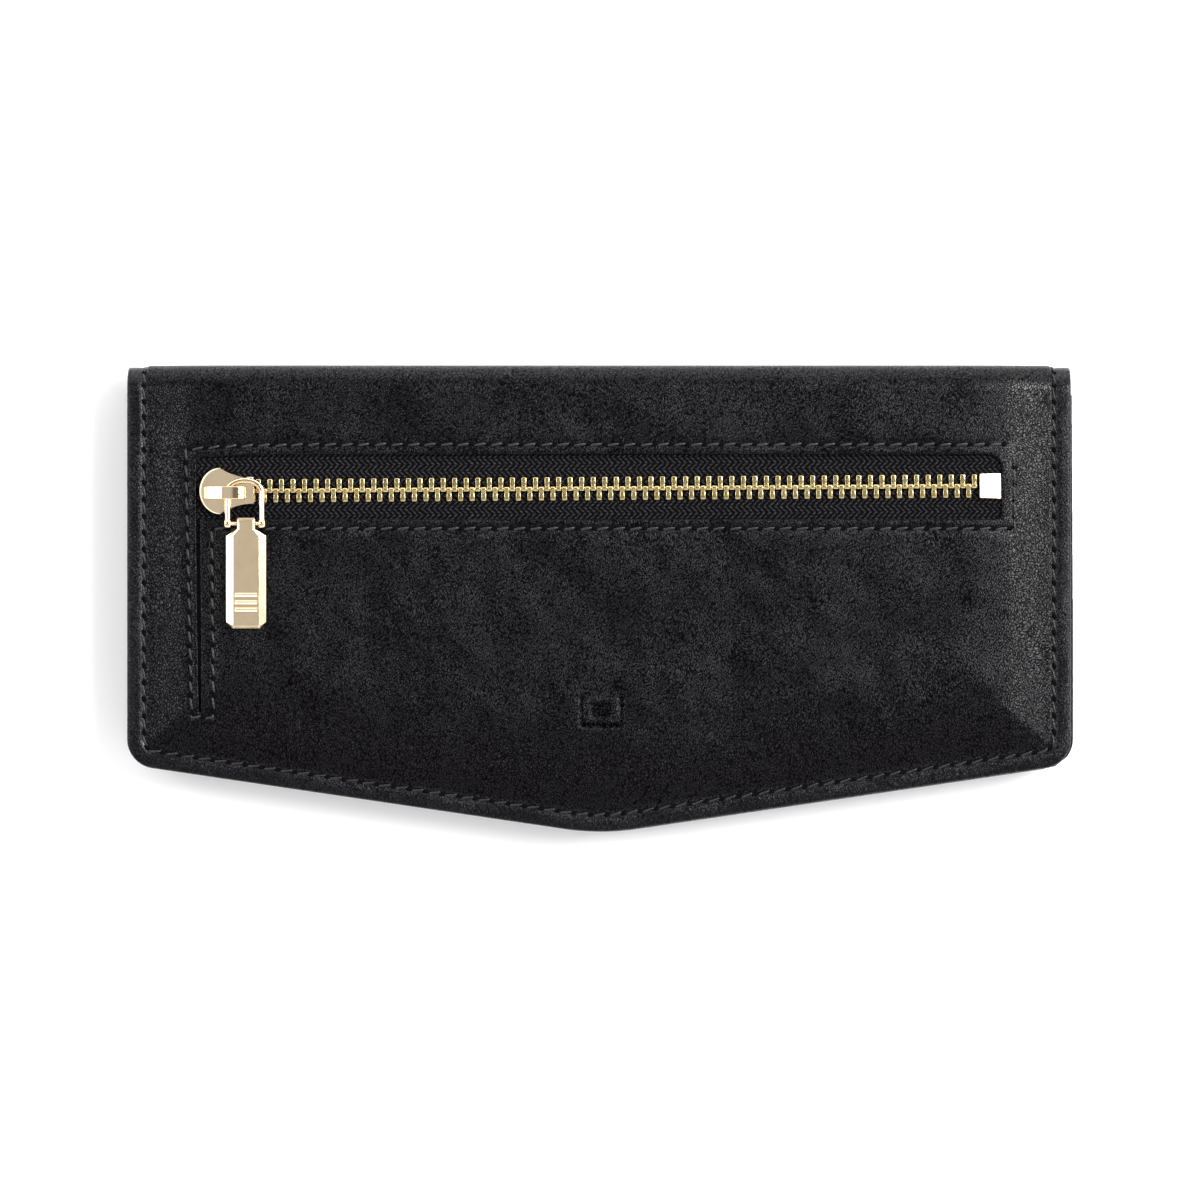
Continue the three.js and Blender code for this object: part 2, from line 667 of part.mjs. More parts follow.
// The bridge over the top plate, whose tunnel holds the pull's wire link.
function sliderBridge() {
  const low = SLIDER_HIGH_Z + SLIDER_PLATE + 0.02;
  const roof = low + TUNNEL_HEIGHT;
  const thickness = 0.8;
  const arch = new THREE.Shape();
  arch.moveTo(BRIDGE_LEFT_X, low);
  arch.lineTo(BRIDGE_LEFT_X + BRIDGE_POST, low);
  arch.lineTo(BRIDGE_LEFT_X + BRIDGE_POST, roof);
  arch.lineTo(BRIDGE_RIGHT_X - BRIDGE_POST, roof);
  arch.lineTo(BRIDGE_RIGHT_X - BRIDGE_POST, low);
  arch.lineTo(BRIDGE_RIGHT_X, low);
  arch.lineTo(BRIDGE_RIGHT_X, roof);
  arch.lineTo(BRIDGE_RIGHT_X - 0.9, roof + thickness);
  arch.lineTo(BRIDGE_LEFT_X + 0.9, roof + thickness);
  arch.lineTo(BRIDGE_LEFT_X, roof);
  arch.closePath();
  const settings = { depth: BRIDGE_WIDTH, bevelEnabled: false };
  const turnedUp = new THREE.ExtrudeGeometry(arch, settings).rotateX(Math.PI / 2);
  return turnedUp.translate(0, CHAIN_Y + BRIDGE_WIDTH / 2 - 0.2, 0);
}

placeOnZip("slider_body", sliderBody(), paleGold);
placeOnZip("slider_bridge", sliderBridge(), paleGold);

// ---- Pull: wire link, pin and tab ----

const LINK_Y = CHAIN_Y - 0.2;
const WIRE_Z = SLIDER_HIGH_Z + SLIDER_PLATE + 0.02 + TUNNEL_HEIGHT / 2;
const PIN_Y = LINK_Y - LINK_DROP;

function rodAlongX(radius, x0, x1, y, z, sides = 12) {
  const rod = new THREE.CylinderGeometry(radius, radius, x1 - x0, sides).rotateZ(Math.PI / 2);
  return rod.translate((x0 + x1) / 2, y, z);
}

// The link's centre line: up one leg, over a flattened arch and down the other.
class LinkCurve extends THREE.Curve {
  getPoint(t, target = new THREE.Vector3()) {
    const leg = LINK_DROP - 0.3;
    const archShare = 0.5;
    const legShare = (1 - archShare) / 2;
    if (t < legShare) {
      return target.set(LINK_X - LINK_HALF_WIDTH, LINK_Y - leg * (1 - t / legShare), WIRE_Z);
    }
    if (t > 1 - legShare) {
      return target.set(LINK_X + LINK_HALF_WIDTH, LINK_Y - leg * (1 - (1 - t) / legShare), WIRE_Z);
    }
    const angle = Math.PI * (1 - (t - legShare) / archShare);
    return target.set(
      LINK_X + LINK_HALF_WIDTH * Math.cos(angle),
      LINK_Y + LINK_ARCH * Math.sin(angle),
      WIRE_Z,
    );
  }
}

function pullLink() {
  const section = new THREE.Shape();
  section.absarc(0, 0, WIRE_RADIUS, 0, 2 * Math.PI, false);
  const settings = { steps: 22, bevelEnabled: false, extrudePath: new LinkCurve(), curveSegments: 5 };
  const wire = new THREE.ExtrudeGeometry(section, settings);
  const eyes = [-1, 1].map((side) => {
    const middle = LINK_X + side * LINK_HALF_WIDTH;
    return rodAlongX(EYE_RADIUS, middle - 0.6, middle + 0.6, PIN_Y, WIRE_Z);
  });
  const reach = LINK_HALF_WIDTH + 2;
  const bore = rodAlongX(PIN_RADIUS + 0.05, LINK_X - reach, LINK_X + reach, PIN_Y, WIRE_Z);
  return cut(join(wire, ...eyes), bore);
}

function linkPin() {
  const reach = LINK_HALF_WIDTH + 0.6;
  return rodAlongX(PIN_RADIUS, LINK_X - reach, LINK_X + reach, PIN_Y, WIRE_Z);
}

// The tab's outline, shrunk by an inset to make its bevelled face.
function tabShape(inset) {
  const wide = TAB_HALF_WIDTH - inset;
  const neck = TAB_NECK_HALF - Math.min(inset, 0.35);
  const bottom = PIN_Y - 21.5 + inset * 0.4;
  const shape = new THREE.Shape();
  const cornerCut = 1.35 - inset * 0.85;
  const shoulder = PIN_Y - 1.15 - inset * 0.1;
  shape.moveTo(TAB_X - wide + cornerCut, bottom);
  shape.lineTo(TAB_X + wide - cornerCut, bottom);
  shape.lineTo(TAB_X + wide, bottom + cornerCut);
  shape.lineTo(TAB_X + wide, shoulder - 1.4);
  shape.lineTo(TAB_X + neck, shoulder);
  shape.lineTo(TAB_X + neck, PIN_Y - 0.1);
  shape.lineTo(TAB_X - neck, PIN_Y - 0.1);
  shape.lineTo(TAB_X - neck, shoulder);
  shape.lineTo(TAB_X - wide, shoulder - 1.4);
  shape.lineTo(TAB_X - wide, bottom + cornerCut);
  shape.closePath();
  return shape;
}

// A plate whose outline changes with height.
function loftedPlate(layers) {
  const outlines = layers.map(({ shape }) => shape.getPoints().slice(0, -1));
  const rings = outlines.map((outline, k) => outline.map((p) => [p.x, p.y, layers[k].z]));
  return lofted(rings, outlines[0]);
}

function pullTab() {
  const low = WIRE_Z - TAB_THICKNESS / 2;
  const body = loftedPlate([
    { shape: tabShape(0.2), z: low },
    { shape: tabShape(0), z: low + 0.2 },
    { shape: tabShape(0), z: low + 0.8 },
    { shape: tabShape(TAB_BEVEL), z: low + TAB_THICKNESS },
  ]);
  const barrel = rodAlongX(0.9, TAB_X - TAB_NECK_HALF, TAB_X + TAB_NECK_HALF, PIN_Y, WIRE_Z);
  const bore = rodAlongX(PIN_RADIUS + 0.08, LINK_X - 5, LINK_X + 5, PIN_Y, WIRE_Z);
  const top = low + TAB_THICKNESS;
  const grooves = [0, 1, 2].map((i) => {
    const y = PIN_Y - 14.6 - 1.5 * i;
    return block(TAB_X - 2.1, TAB_X + 2.1, y - 0.35, y + 0.35, top - 0.3, top + 1);
  });
  return cut(join(body, barrel), bore, ...grooves);
}

place(shell, "pull_link", pullLink(), paleGold);
place(shell, "link_pin", linkPin(), paleGold);
place(shell, "pull_tab", pullTab(), paleGold);

export default wallet;
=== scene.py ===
"""The looks of a fold-over leather wallet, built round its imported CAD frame.

Lengths are millimetres, and become metres where a mesh is made. X runs along the wallet's width,
Y from the flap's point towards the fold, Z up out of the flap's face.
"""

import math

import bmesh
import bpy
import numpy as np
from mathutils import Matrix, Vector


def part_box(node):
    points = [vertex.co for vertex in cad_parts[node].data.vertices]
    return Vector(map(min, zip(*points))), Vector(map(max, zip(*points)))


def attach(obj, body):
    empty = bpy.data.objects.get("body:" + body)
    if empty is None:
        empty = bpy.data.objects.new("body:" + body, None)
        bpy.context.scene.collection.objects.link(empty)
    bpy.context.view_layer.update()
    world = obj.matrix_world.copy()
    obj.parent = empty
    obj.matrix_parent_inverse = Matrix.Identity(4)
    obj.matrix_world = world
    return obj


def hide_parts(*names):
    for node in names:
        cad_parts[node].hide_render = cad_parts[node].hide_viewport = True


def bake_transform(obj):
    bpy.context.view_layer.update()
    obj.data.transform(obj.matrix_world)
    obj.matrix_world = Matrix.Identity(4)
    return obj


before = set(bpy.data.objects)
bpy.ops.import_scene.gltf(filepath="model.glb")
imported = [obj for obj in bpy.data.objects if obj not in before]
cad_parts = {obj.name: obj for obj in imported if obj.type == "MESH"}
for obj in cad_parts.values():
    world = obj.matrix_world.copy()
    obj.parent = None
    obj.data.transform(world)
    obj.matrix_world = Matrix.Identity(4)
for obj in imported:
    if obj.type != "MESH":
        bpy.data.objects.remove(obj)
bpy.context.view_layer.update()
MM = 0.001


def box(node):
    """The lowest and highest corner of a CAD node, in millimetres."""
    low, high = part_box(node)
    return np.array(low) / MM, np.array(high) / MM


# ---- The wallet's shape, from the frame ----

COVER_LOW, COVER_HIGH = box("flap_cover")
SHELL_X = (COVER_LOW[0] + COVER_HIGH[0]) / 2
HALF_WIDTH = (COVER_HIGH[0] - COVER_LOW[0]) / 2
TIP_Y = COVER_LOW[1]
FLAT_END_Y = COVER_HIGH[1]
FOLD_Y = box("spine_cover")[1][1]
FOLD_RADIUS = FOLD_Y - FLAT_END_Y
TOP_Z = COVER_HIGH[2]
LEATHER = box("back_cover")[1][2]
RIM_Z = COVER_LOW[2] + LEATHER
MIDDLE_Z = TOP_Z / 2  # where the back's and the flap's leather meet on the spine

EDGE_SLOPE = 0.1477  # the lower edge's rise from its point to its corners
SLOPE_ANGLE = math.atan(EDGE_SLOPE)
TIP_RADIUS = 49
CORNER_RADIUS = 6
TIP_CENTRE_Y = TIP_Y + TIP_RADIUS
CORNER_X = HALF_WIDTH - CORNER_RADIUS
SHARP_TIP_Y = TIP_CENTRE_Y - TIP_RADIUS / math.cos(SLOPE_ANGLE)
CORNER_Y = SHARP_TIP_Y + CORNER_X * EDGE_SLOPE + CORNER_RADIUS / math.cos(SLOPE_ANGLE)

EDGE_ROUND = 0.5  # radius of the leather's painted edges
SEAM_INSET = 3.5  # the rim's stitches, from the edge
RAMP_END = 14  # where the padded middle reaches its full height, from a side
LOW_RAMP_END = 24  # the same, from the lower edge
EAR_DROP = 0.35  # how far the seam's ends sit behind the fold
STITCH = 3.42  # from one stitch to the next
THREAD_RADIUS = 0.26
HOLE_REACH = (1.05, 0.58)  # a needle hole's half length and half width
LINING_GAP = 0.05  # between the spine's leather and its lining
STRAIGHT_Y = -20  # above this the grids' rows are straight, and below they follow the lower edge

# The zip's window, and the narrow slit that runs down from its left end.
WINDOW_LEFT = -82.9
WINDOW_RIGHT = 82.3
WINDOW_LOW = 16.3
WINDOW_HIGH = 29.2
SLIT_RIGHT = -82.3
SLIT_END = -23.4
SLIT_END_X = -82.2
CORNER_ROUNDS = {(1, 1): 2.6, (1, -1): 0.7, (-1, 1): 0.5}  # (side, up): radius

# The pressed mark near the flap's point.
MARK_X = 0.2
MARK_Y = -22.9
MARK_HALF = (4.6, 3.6)

# Distances of the grids' lines from an edge of the leather and from the window's edges.
EDGE_STEPS = [0, 0.05, 0.14, 0.28, 0.5, 0.85, 1.4, 2.1, 2.7, 3.1, 3.4, 3.7, 4.0, 4.3, 4.7, 5.3, 6.2]
HOLE_STEPS = [0, 0.05, 0.14, 0.28, 0.5, 0.9, 1.35, 1.6, 1.85, 2.1, 2.5]


def smoothstep(x, low, high):
    t = np.clip((x - low) / (high - low), 0, 1)
    return t * t * (3 - 2 * t)


def low_edge(x, inset=0.0):
    """The lower edge's Y at x from the wallet's middle line, or that of a line inside the edge."""
    across = np.abs(x)
    tip_radius = TIP_RADIUS - inset
    corner_radius = max(CORNER_RADIUS - inset, 0.01)
    tip = TIP_CENTRE_Y - np.sqrt(np.maximum(tip_radius**2 - across**2, 0))
    flank = SHARP_TIP_Y + across * EDGE_SLOPE + inset / math.cos(SLOPE_ANGLE)
    corner = CORNER_Y - np.sqrt(np.maximum(corner_radius**2 - (across - CORNER_X) ** 2, 0))
    y = np.where(across < tip_radius * math.sin(SLOPE_ANGLE), tip, flank)
    return np.where(across > CORNER_X + corner_radius * math.sin(SLOPE_ANGLE), corner, y)


def side_distance(x):
    """How far x lies inside the wallet's sides."""
    return HALF_WIDTH - np.abs(x - SHELL_X)


def outside(v, low, high):
    """How far a value lies outside a range."""
    return np.maximum(np.maximum(low - v, v - high), 0)


def edge_distance(x, y):
    """How far a point lies inside the wallet's sides and lower edge."""
    across = np.abs(x)
    side = HALF_WIDTH - across
    flank = (y - SHARP_TIP_Y - across * EDGE_SLOPE) * math.cos(SLOPE_ANGLE)
    distance = np.minimum(side, flank)
    below_tip = TIP_CENTRE_Y - y
    in_tip = (below_tip > 0) & (across < below_tip * EDGE_SLOPE)
    distance = np.where(in_tip, TIP_RADIUS - np.hypot(across, below_tip), distance)
    from_centre_x = across - CORNER_X
    from_centre_y = y - CORNER_Y
    below = -from_centre_y
    in_corner = (from_centre_x > below * EDGE_SLOPE) & (below > 0)
    return np.where(in_corner, CORNER_RADIUS - np.hypot(from_centre_x, from_centre_y), distance)


def rounding(distance, radius):
    """How far a rounded edge has dropped at a distance from the edge."""
    inside = np.clip(radius - distance, 0, radius)
    return radius - np.sqrt(radius**2 - inside**2)


def groove(distance, width, depth):
    """A soft pressed line, where distance is how far a point lies from its middle."""
    return depth * np.exp(-((distance / width) ** 2))


def waves(x, y, size, seed):
    """A gentle unevenness between -1 and 1 with bumps of about the given size."""
    rng = np.random.default_rng(seed)
    total = np.zeros(np.broadcast(x, y).shape)
    for _ in range(7):
        angle, phase = rng.uniform(0, 2 * math.pi, 2)
        pitch = size * rng.uniform(1.4, 2.8)
        total += np.sin((x * math.cos(angle) + y * math.sin(angle)) * 2 * math.pi / pitch + phase)
    return total / 7


def spread(low, high, step, *special):
    """Grid lines from low to high: the special ones, and enough others that no gap exceeds step."""
    wanted = sorted({round(v, 3) for lines in special for v in lines if low < v < high})
    kept = [low]
    for v in [*wanted, high]:
        if v - kept[-1] >= 0.03:
            kept.append(v)
    kept[-1] = high
    lines = [low]
    for start, end in zip(kept, kept[1:]):
        count = max(1, math.ceil((end - start) / step))
        lines += [start + (end - start) * k / count for k in range(1, count + 1)]
    return np.array(lines)


# ---- Meshes ----


def new_mesh(name, points, faces, uv=None, materials=(), face_material=None, crease=None, **layers):
    """An object from points in millimetres. uv and layers hold one entry for each point.

    crease is the angle in degrees above which an edge stays sharp.
    """
    mesh = bpy.data.meshes.new(name)
    mesh.from_pydata((np.asarray(points, float) * MM).tolist(), [], faces)
    if uv is not None:
        corners = np.zeros(len(mesh.loops), int)
        mesh.loops.foreach_get("vertex_index", corners)
        mesh.uv_layers.new(name="surface").data.foreach_set("uv", np.asarray(uv, float)[corners].ravel())
    for layer, values in layers.items():
        attribute = mesh.attributes.new(layer, "FLOAT", "POINT")
        attribute.data.foreach_set("value", np.asarray(values, np.float32))
    for m in materials:
        mesh.materials.append(m)
    if face_material is not None:
        mesh.polygons.foreach_set("material_index", np.asarray(face_material, np.int32))
    mesh.shade_smooth()
    if crease is not None:
        mesh.set_sharp_from_angle(angle=math.radians(crease))
    mesh.update()
    made = bpy.data.objects.new(name, mesh)
    bpy.context.scene.collection.objects.link(made)
    return made


def grid(x_lines, *blocks):
    """Grids of x and of rows. A block of rows is one list for every x, or has its own row for each."""
    rows = [np.broadcast_to(block, (len(x_lines), block.shape[-1])) for block in blocks]
    rows = np.concatenate(rows, 1)
    return np.broadcast_to(x_lines[:, None], rows.shape), rows


def sheet_from_grid(name, outer, inner, uv, materials, keep=None, flipped=False, **layers):
    """A closed sheet between two grids of points, without the cells that keep leaves out.

    Its faces take the first material, and the walls round its edges the last. It is flipped where
    its outer face would point inwards.
    """
    columns, rows = outer.shape[:2]
    if keep is None:
        keep = np.ones((columns - 1, rows - 1), bool)
    if flipped:
        outer, inner, uv, keep = (v[::-1] for v in (outer, inner, uv, keep))
        layers = {k: v[::-1] for k, v in layers.items()}
    count = columns * rows
    index = np.arange(count).reshape(columns, rows)
    a, b = index[:-1, :-1][keep], index[1:, :-1][keep]
    c, d = index[1:, 1:][keep], index[:-1, 1:][keep]
    top = np.stack([a, b, c, d], 1)
    bottom = np.stack([a, d, c, b], 1) + count
    padded = np.pad(keep, 1)
    sides = [(0, -1), (1, 0), (0, 1), (-1, 0)]
    corners = [(0, 0), (1, 0), (1, 1), (0, 1)]
    walls = []
    for (di, dj), start, end in zip(sides, corners, corners[1:] + corners[:1]):
        neighbour = padded[1 + di : columns + di, 1 + dj : rows + dj]
        i, j = np.nonzero(keep & ~neighbour)
        first = index[i + start[0], j + start[1]]
        second = index[i + end[0], j + end[1]]
        walls.append(np.stack([second, first, first + count, second + count], 1))
    walls = np.concatenate(walls)
    used, faces = np.unique(np.concatenate([top, bottom, walls]), return_inverse=True)
    points = np.concatenate([outer.reshape(-1, 3), inner.reshape(-1, 3)])[used]
    both = np.concatenate([uv.reshape(-1, 2)] * 2)[used]
    picked = {k: np.concatenate([v.ravel()] * 2)[used] for k, v in layers.items()}
    kinds = np.repeat([0, len(materials) - 1], [2 * len(top), len(walls)])
    return new_mesh(name, points, faces.reshape(-1, 4).tolist(), both, materials, kinds, **picked)


def join(name, pieces):
    """One mesh object out of several."""
    with bpy.context.temp_override(active_object=pieces[0], selected_editable_objects=pieces):
        bpy.ops.object.join()
    pieces[0].name = name
    pieces[0].data.name = name
    return pieces[0]


def apply_modifiers(piece):
    bpy.context.view_layer.update()
    shown = piece.evaluated_get(bpy.context.evaluated_depsgraph_get())
    mesh = bpy.data.meshes.new_from_object(shown)
    piece.modifiers.clear()
    piece.data = mesh
    return piece


def bevelled(piece, width, segments=3, angle=32):
    """Rounds a piece's sharp edges by width in millimetres."""
    modifier = piece.modifiers.new("edges", "BEVEL")
    modifier.width = width * MM
    modifier.segments = segments
    modifier.limit_method = "ANGLE"
    modifier.angle_limit = math.radians(angle)
    modifier.harden_normals = True
    return apply_modifiers(piece)


def cut(piece, *tools):
    """Takes other pieces away from a piece."""
    for tool in tools:
        modifier = piece.modifiers.new("cut", "BOOLEAN")
        modifier.operation = "DIFFERENCE"
        modifier.solver = "EXACT"
        modifier.object = tool
        apply_modifiers(piece)
        bpy.data.objects.remove(tool)
    return piece


def face_outwards(piece, merge=None):
    """Turns a closed piece's faces outwards, and first merges points closer than merge, in metres."""
    clean = bmesh.new()
    clean.from_mesh(piece.data)
    if merge:
        bmesh.ops.remove_doubles(clean, verts=clean.verts, dist=merge)
    bmesh.ops.recalc_face_normals(clean, faces=clean.faces)
    clean.to_mesh(piece.data)
    clean.free()


def loft_faces(count, size, base=0, ring_shaped=False):
    """Faces through count rings of size points numbered from base, with two caps or as a closed ring."""
    last = base + (count - 1) * size
    faces = [] if ring_shaped else [list(range(base, base + size))[::-1], list(range(last, last + size))]
    for k in range(count if ring_shaped else count - 1):
        low, high = base + k * size, base + (k + 1) % count * size
        for i in range(size):
            j = (i + 1) % size
            faces.append([low + i, low + j, high + j, high + i])
    return faces


def lofted(name, rings, material, crease=None):
    """A closed solid through rings that all have the same number of points."""
    faces = loft_faces(len(rings), len(rings[0]))
    return new_mesh(name, np.concatenate(rings), faces, materials=[material], crease=crease)


def prism(name, outline, low, high, material):
    """An outline in X and Y, drawn anticlockwise, between two heights."""
    rings = [[(x, y, z) for x, y in outline] for z in (low, high)]
    return lofted(name, rings, material, crease=30)


def block(name, low, high, material):
    """A box between its lowest and its highest corner."""
    (x0, y0, z0), (x1, y1, z1) = low, high
    return prism(name, [(x0, y0), (x1, y0), (x1, y1), (x0, y1)], z0, z1, material)


def mirrored(profile):
    """A profile of (radius, height) with its mirror image above it."""
    return profile + [(radius, -height) for radius, height in profile[::-1]]


def circle(steps):
    angles = np.linspace(0, 2 * math.pi, steps, endpoint=False)
    return np.stack([np.cos(angles), np.sin(angles)], 1)


def lathe(name, profile, centre, material, along_x=False, steps=64):
    """A turned piece: profile runs as (radius, height), closed in itself or ending on the axis."""
    ring_shaped = profile[0] == profile[-1]
    profile = profile[:-1] if ring_shaped else profile
    turn = circle(steps)
    points = []
    for radius, height in profile:
        flat = np.column_stack([turn * max(radius, 1e-4), np.full(steps, height)])
        points.append(flat[:, [2, 0, 1]] if along_x else flat)
    faces = loft_faces(len(profile), steps, ring_shaped=ring_shaped)
    made = new_mesh(name, np.concatenate(points) + centre, faces, materials=[material])
    face_outwards(made, merge=5e-7)
    made.data.shade_smooth()
    made.data.set_sharp_from_angle(angle=math.radians(40))
    return made


def wire(name, line, radius, material, sides=20):
    """A round rod along a line of points that stays in one plane of constant Z."""
    line = np.asarray(line, float)
    ahead = np.gradient(line, axis=0)
    ahead /= np.linalg.norm(ahead, axis=1)[:, None]
    up = np.array([0, 0, 1.0])
    across = np.cross(ahead, up)
    turn = circle(sides)
    rings = [p + radius * (turn[:, :1] * a + turn[:, 1:] * up) for p, a in zip(line, across)]
    return lofted(name, rings[::-1], material, crease=40)


def finish_piece(piece, body, slot, *nodes):
    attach(piece, body)
    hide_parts(*nodes)
    return piece


# ---- Materials ----


class Nodes:
    """A node tree, and short ways to add nodes to it."""

    def __init__(self, owner):
        owner.use_nodes = True
        self.tree = owner.node_tree

    def feed(self, socket, value):
        if isinstance(value, bpy.types.NodeSocket):
            self.tree.links.new(value, socket)
        elif isinstance(value, tuple) and len(value) == 3 and socket.type == "RGBA":
            socket.default_value = (*value, 1)
        else:
            socket.default_value = value

    def node(self, kind, inputs=(), **settings):
        made = self.tree.nodes.new(kind)
        for key, value in settings.items():
            setattr(made, key, value)
        for key, value in dict(inputs).items():
            self.feed(made.inputs[key], value)
        return made

    def along_sheet(self):
        """Millimetres along and across a sheet, which stay on it when it bends."""
        return self.node("ShaderNodeTexCoord").outputs["UV"]

    def in_space(self):
        """Millimetres in the piece's own space."""
        place = self.node("ShaderNodeTexCoord").outputs["Object"]
        return self.vector_math("SCALE", {0: place, 3: 1 / MM})

    def noise(self, vector, scale, detail=2.0, roughness=0.5):
        inputs = {"Vector": vector, "Scale": scale, "Detail": detail, "Roughness": roughness}
        return self.node("ShaderNodeTexNoise", inputs).outputs["Fac"]

    def shifted(self, vector, scale, distance):
        """The vector moved about by noise, so that what it places wanders."""
        cloud = self.node("ShaderNodeTexNoise", {"Vector": vector, "Scale": scale, "Detail": 2.0})
        half = (0.5, 0.5, 0.5)
        centred = self.vector_math("SUBTRACT", {0: cloud.outputs["Color"], 1: half})
        shift = self.vector_math("SCALE", {0: centred, 3: distance})
        return self.vector_math("ADD", {0: vector, 1: shift})

    def vector_math(self, operation, inputs):
        return self.node("ShaderNodeVectorMath", inputs, operation=operation).outputs[0]

    def math(self, operation, *values, clamp=False):
        inputs = dict(enumerate(values))
        return self.node("ShaderNodeMath", inputs, operation=operation, use_clamp=clamp).outputs[0]

    def times(self, first, second):
        return self.math("MULTIPLY", first, second)

    def plus(self, first, second):
        return self.math("ADD", first, second)

    def remap(self, value, low, high, new_low, new_high):
        inputs = dict(enumerate((value, low, high, new_low, new_high)))
        return self.node("ShaderNodeMapRange", inputs).outputs[0]


class Shader(Nodes):
    """A Principled material, and the nodes that give its values detail."""

    def __init__(self, name, specular=0.5):
        self.material = bpy.data.materials.new(name)
        super().__init__(self.material)
        self.surface = self.tree.nodes["Principled BSDF"]
        self.set("Specular IOR Level", specular)

    def color_between(self, factor, first, second):
        """A base colour between two colours."""
        made = self.node("ShaderNodeMix", data_type="RGBA")
        for socket, value in ((0, factor), (6, first), (7, second)):
            self.feed(made.inputs[socket], value)
        self.set("Base Color", made.outputs[2])

    def set(self, name, value):
        self.feed(self.surface.inputs[name], value)

    def rough_by(self, noise, low, high):
        """Roughness between low and high, by a noise."""
        self.set("Roughness", self.remap(noise, 0.3, 0.7, low, high))

    def bump(self, height, distance):
        """Adds relief, where distance is the height in millimetres that a value of 1 stands for."""
        inputs = {"Height": height, "Distance": distance * MM, "Strength": 1.0}
        self.set("Normal", self.node("ShaderNodeBump", inputs).outputs[0])


def leather(name, color, lighter, cell, depth, shine, uv=True, rim=False):
    """Pebbled leather: grains that catch the light, dull creases between them painted darker as shade, a
    smoother rim.
    """
    s = Shader(name)
    where = s.along_sheet() if uv else s.in_space()
    drawn = {"Vector": s.shifted(where, 0.05, 9.0), "Rotation": (0, 0, 0.6), "Scale": (1, 0.62, 1)}
    bent = s.shifted(s.node("ShaderNodeMapping", drawn).outputs[0], 0.9 / cell, 1.3 * cell)
    settings = {"feature": "DISTANCE_TO_EDGE", "voronoi_dimensions": "3D"}
    cells = s.node("ShaderNodeTexVoronoi", {"Vector": bent, "Scale": 1 / cell}, **settings)
    pebble = s.remap(cells.outputs["Distance"], 0.02, 0.22, 0.0, 1.0)
    crease = s.noise(bent, 2.2 / cell, 3.0, 0.6)
    wrinkled = s.remap(crease, 0.3, 0.55, 0.35, 1.0)
    grain = s.times(s.remap(pebble, 0.0, 1.0, 0.12, 1.0), wrinkled)
    tone = s.noise(where, 0.07, 3.0, 0.6)
    # The colour follows a random tone and the grain: the creases between the grains are painted darker,
    # as shade.
    tone_and_crease_shade = s.times(s.remap(tone, 0.3, 0.7, 0.6, 0.8), grain)
    relief = grain
    gloss = s.remap(grain, 0.1, 1.0, 0.05 * shine, shine)
    if rim:
        # On the smoothed rim the leather is glossier and a little lighter. Where the value is below 0,
        # in the mark's pressed lines, it is duller and its colour is painted darker, as shade.
        pressed = s.node("ShaderNodeAttribute", attribute_name="rim").outputs["Fac"]
        streaks = s.noise(where, 2.6, 4.0, 0.65)
        kept = s.remap(pressed, 0.0, 1.0, 1.0, 0.85)
        relief = s.plus(s.times(relief, kept), s.times(streaks, 0.25))
        smooth = s.times(pressed, s.remap(streaks, 0.3, 0.7, 0.12 * shine, 0.42 * shine))
        gloss = s.plus(s.times(gloss, kept), smooth)
        tone_and_crease_shade = s.math("ADD", tone_and_crease_shade, s.times(pressed, 0.12), clamp=True)
    s.bump(relief, depth)
    s.set("Specular IOR Level", gloss)
    s.color_between(tone_and_crease_shade, color, lighter)
    worn = s.plus(s.times(tone, 0.06), s.remap(grain, 0.0, 1.0, 0.3, 0.17))
    s.set("Roughness", worn)
    return s.material


def mottled(name, dark, light, scale, detail, uneven, relief, specular):
    """A shader whose colour and relief follow one noise, and that noise."""
    s = Shader(name, specular=specular)
    cloud = s.noise(s.in_space(), scale, detail, uneven)
    s.color_between(cloud, dark, light)
    s.bump(cloud, relief)
    return s, cloud


def edge_paint():
    """The painted cut edge of the leather: smooth, slightly wavy and a little shinier."""
    dark, light = (0.002, 0.002, 0.0024), (0.006, 0.0057, 0.0066)
    s, _ = mottled("edge_paint", dark, light, 0.5, 3.0, 0.5, 0.12, 0.25)
    s.rough_by(s.noise(s.in_space(), 2.5, 3.0), 0.38, 0.6)
    return s.material


def woven(name, color, lighter, pitch, depth, roughness):
    """Plain cloth of crossing threads."""
    s = Shader(name, specular=0.25)
    where = s.in_space()
    axes = s.node("ShaderNodeSeparateXYZ", {0: where})
    along = s.times(axes.outputs[0], 2 * math.pi / pitch)
    across = s.times(axes.outputs[1], 2 * math.pi / pitch)
    weft = s.math("SINE", s.plus(along, across))
    warp = s.math("SINE", s.math("SUBTRACT", along, across))
    threads = s.math("MAXIMUM", weft, warp)
    fuzz = s.noise(where, 4.5, 3.0, 0.6)
    s.bump(s.plus(s.times(threads, 0.5), s.times(fuzz, 0.6)), depth)
    s.color_between(s.times(s.remap(threads, -0.2, 1.0, 0.0, 1.0), fuzz), color, lighter)
    s.rough_by(fuzz, roughness - 0.08, roughness + 0.08)
    return s.material


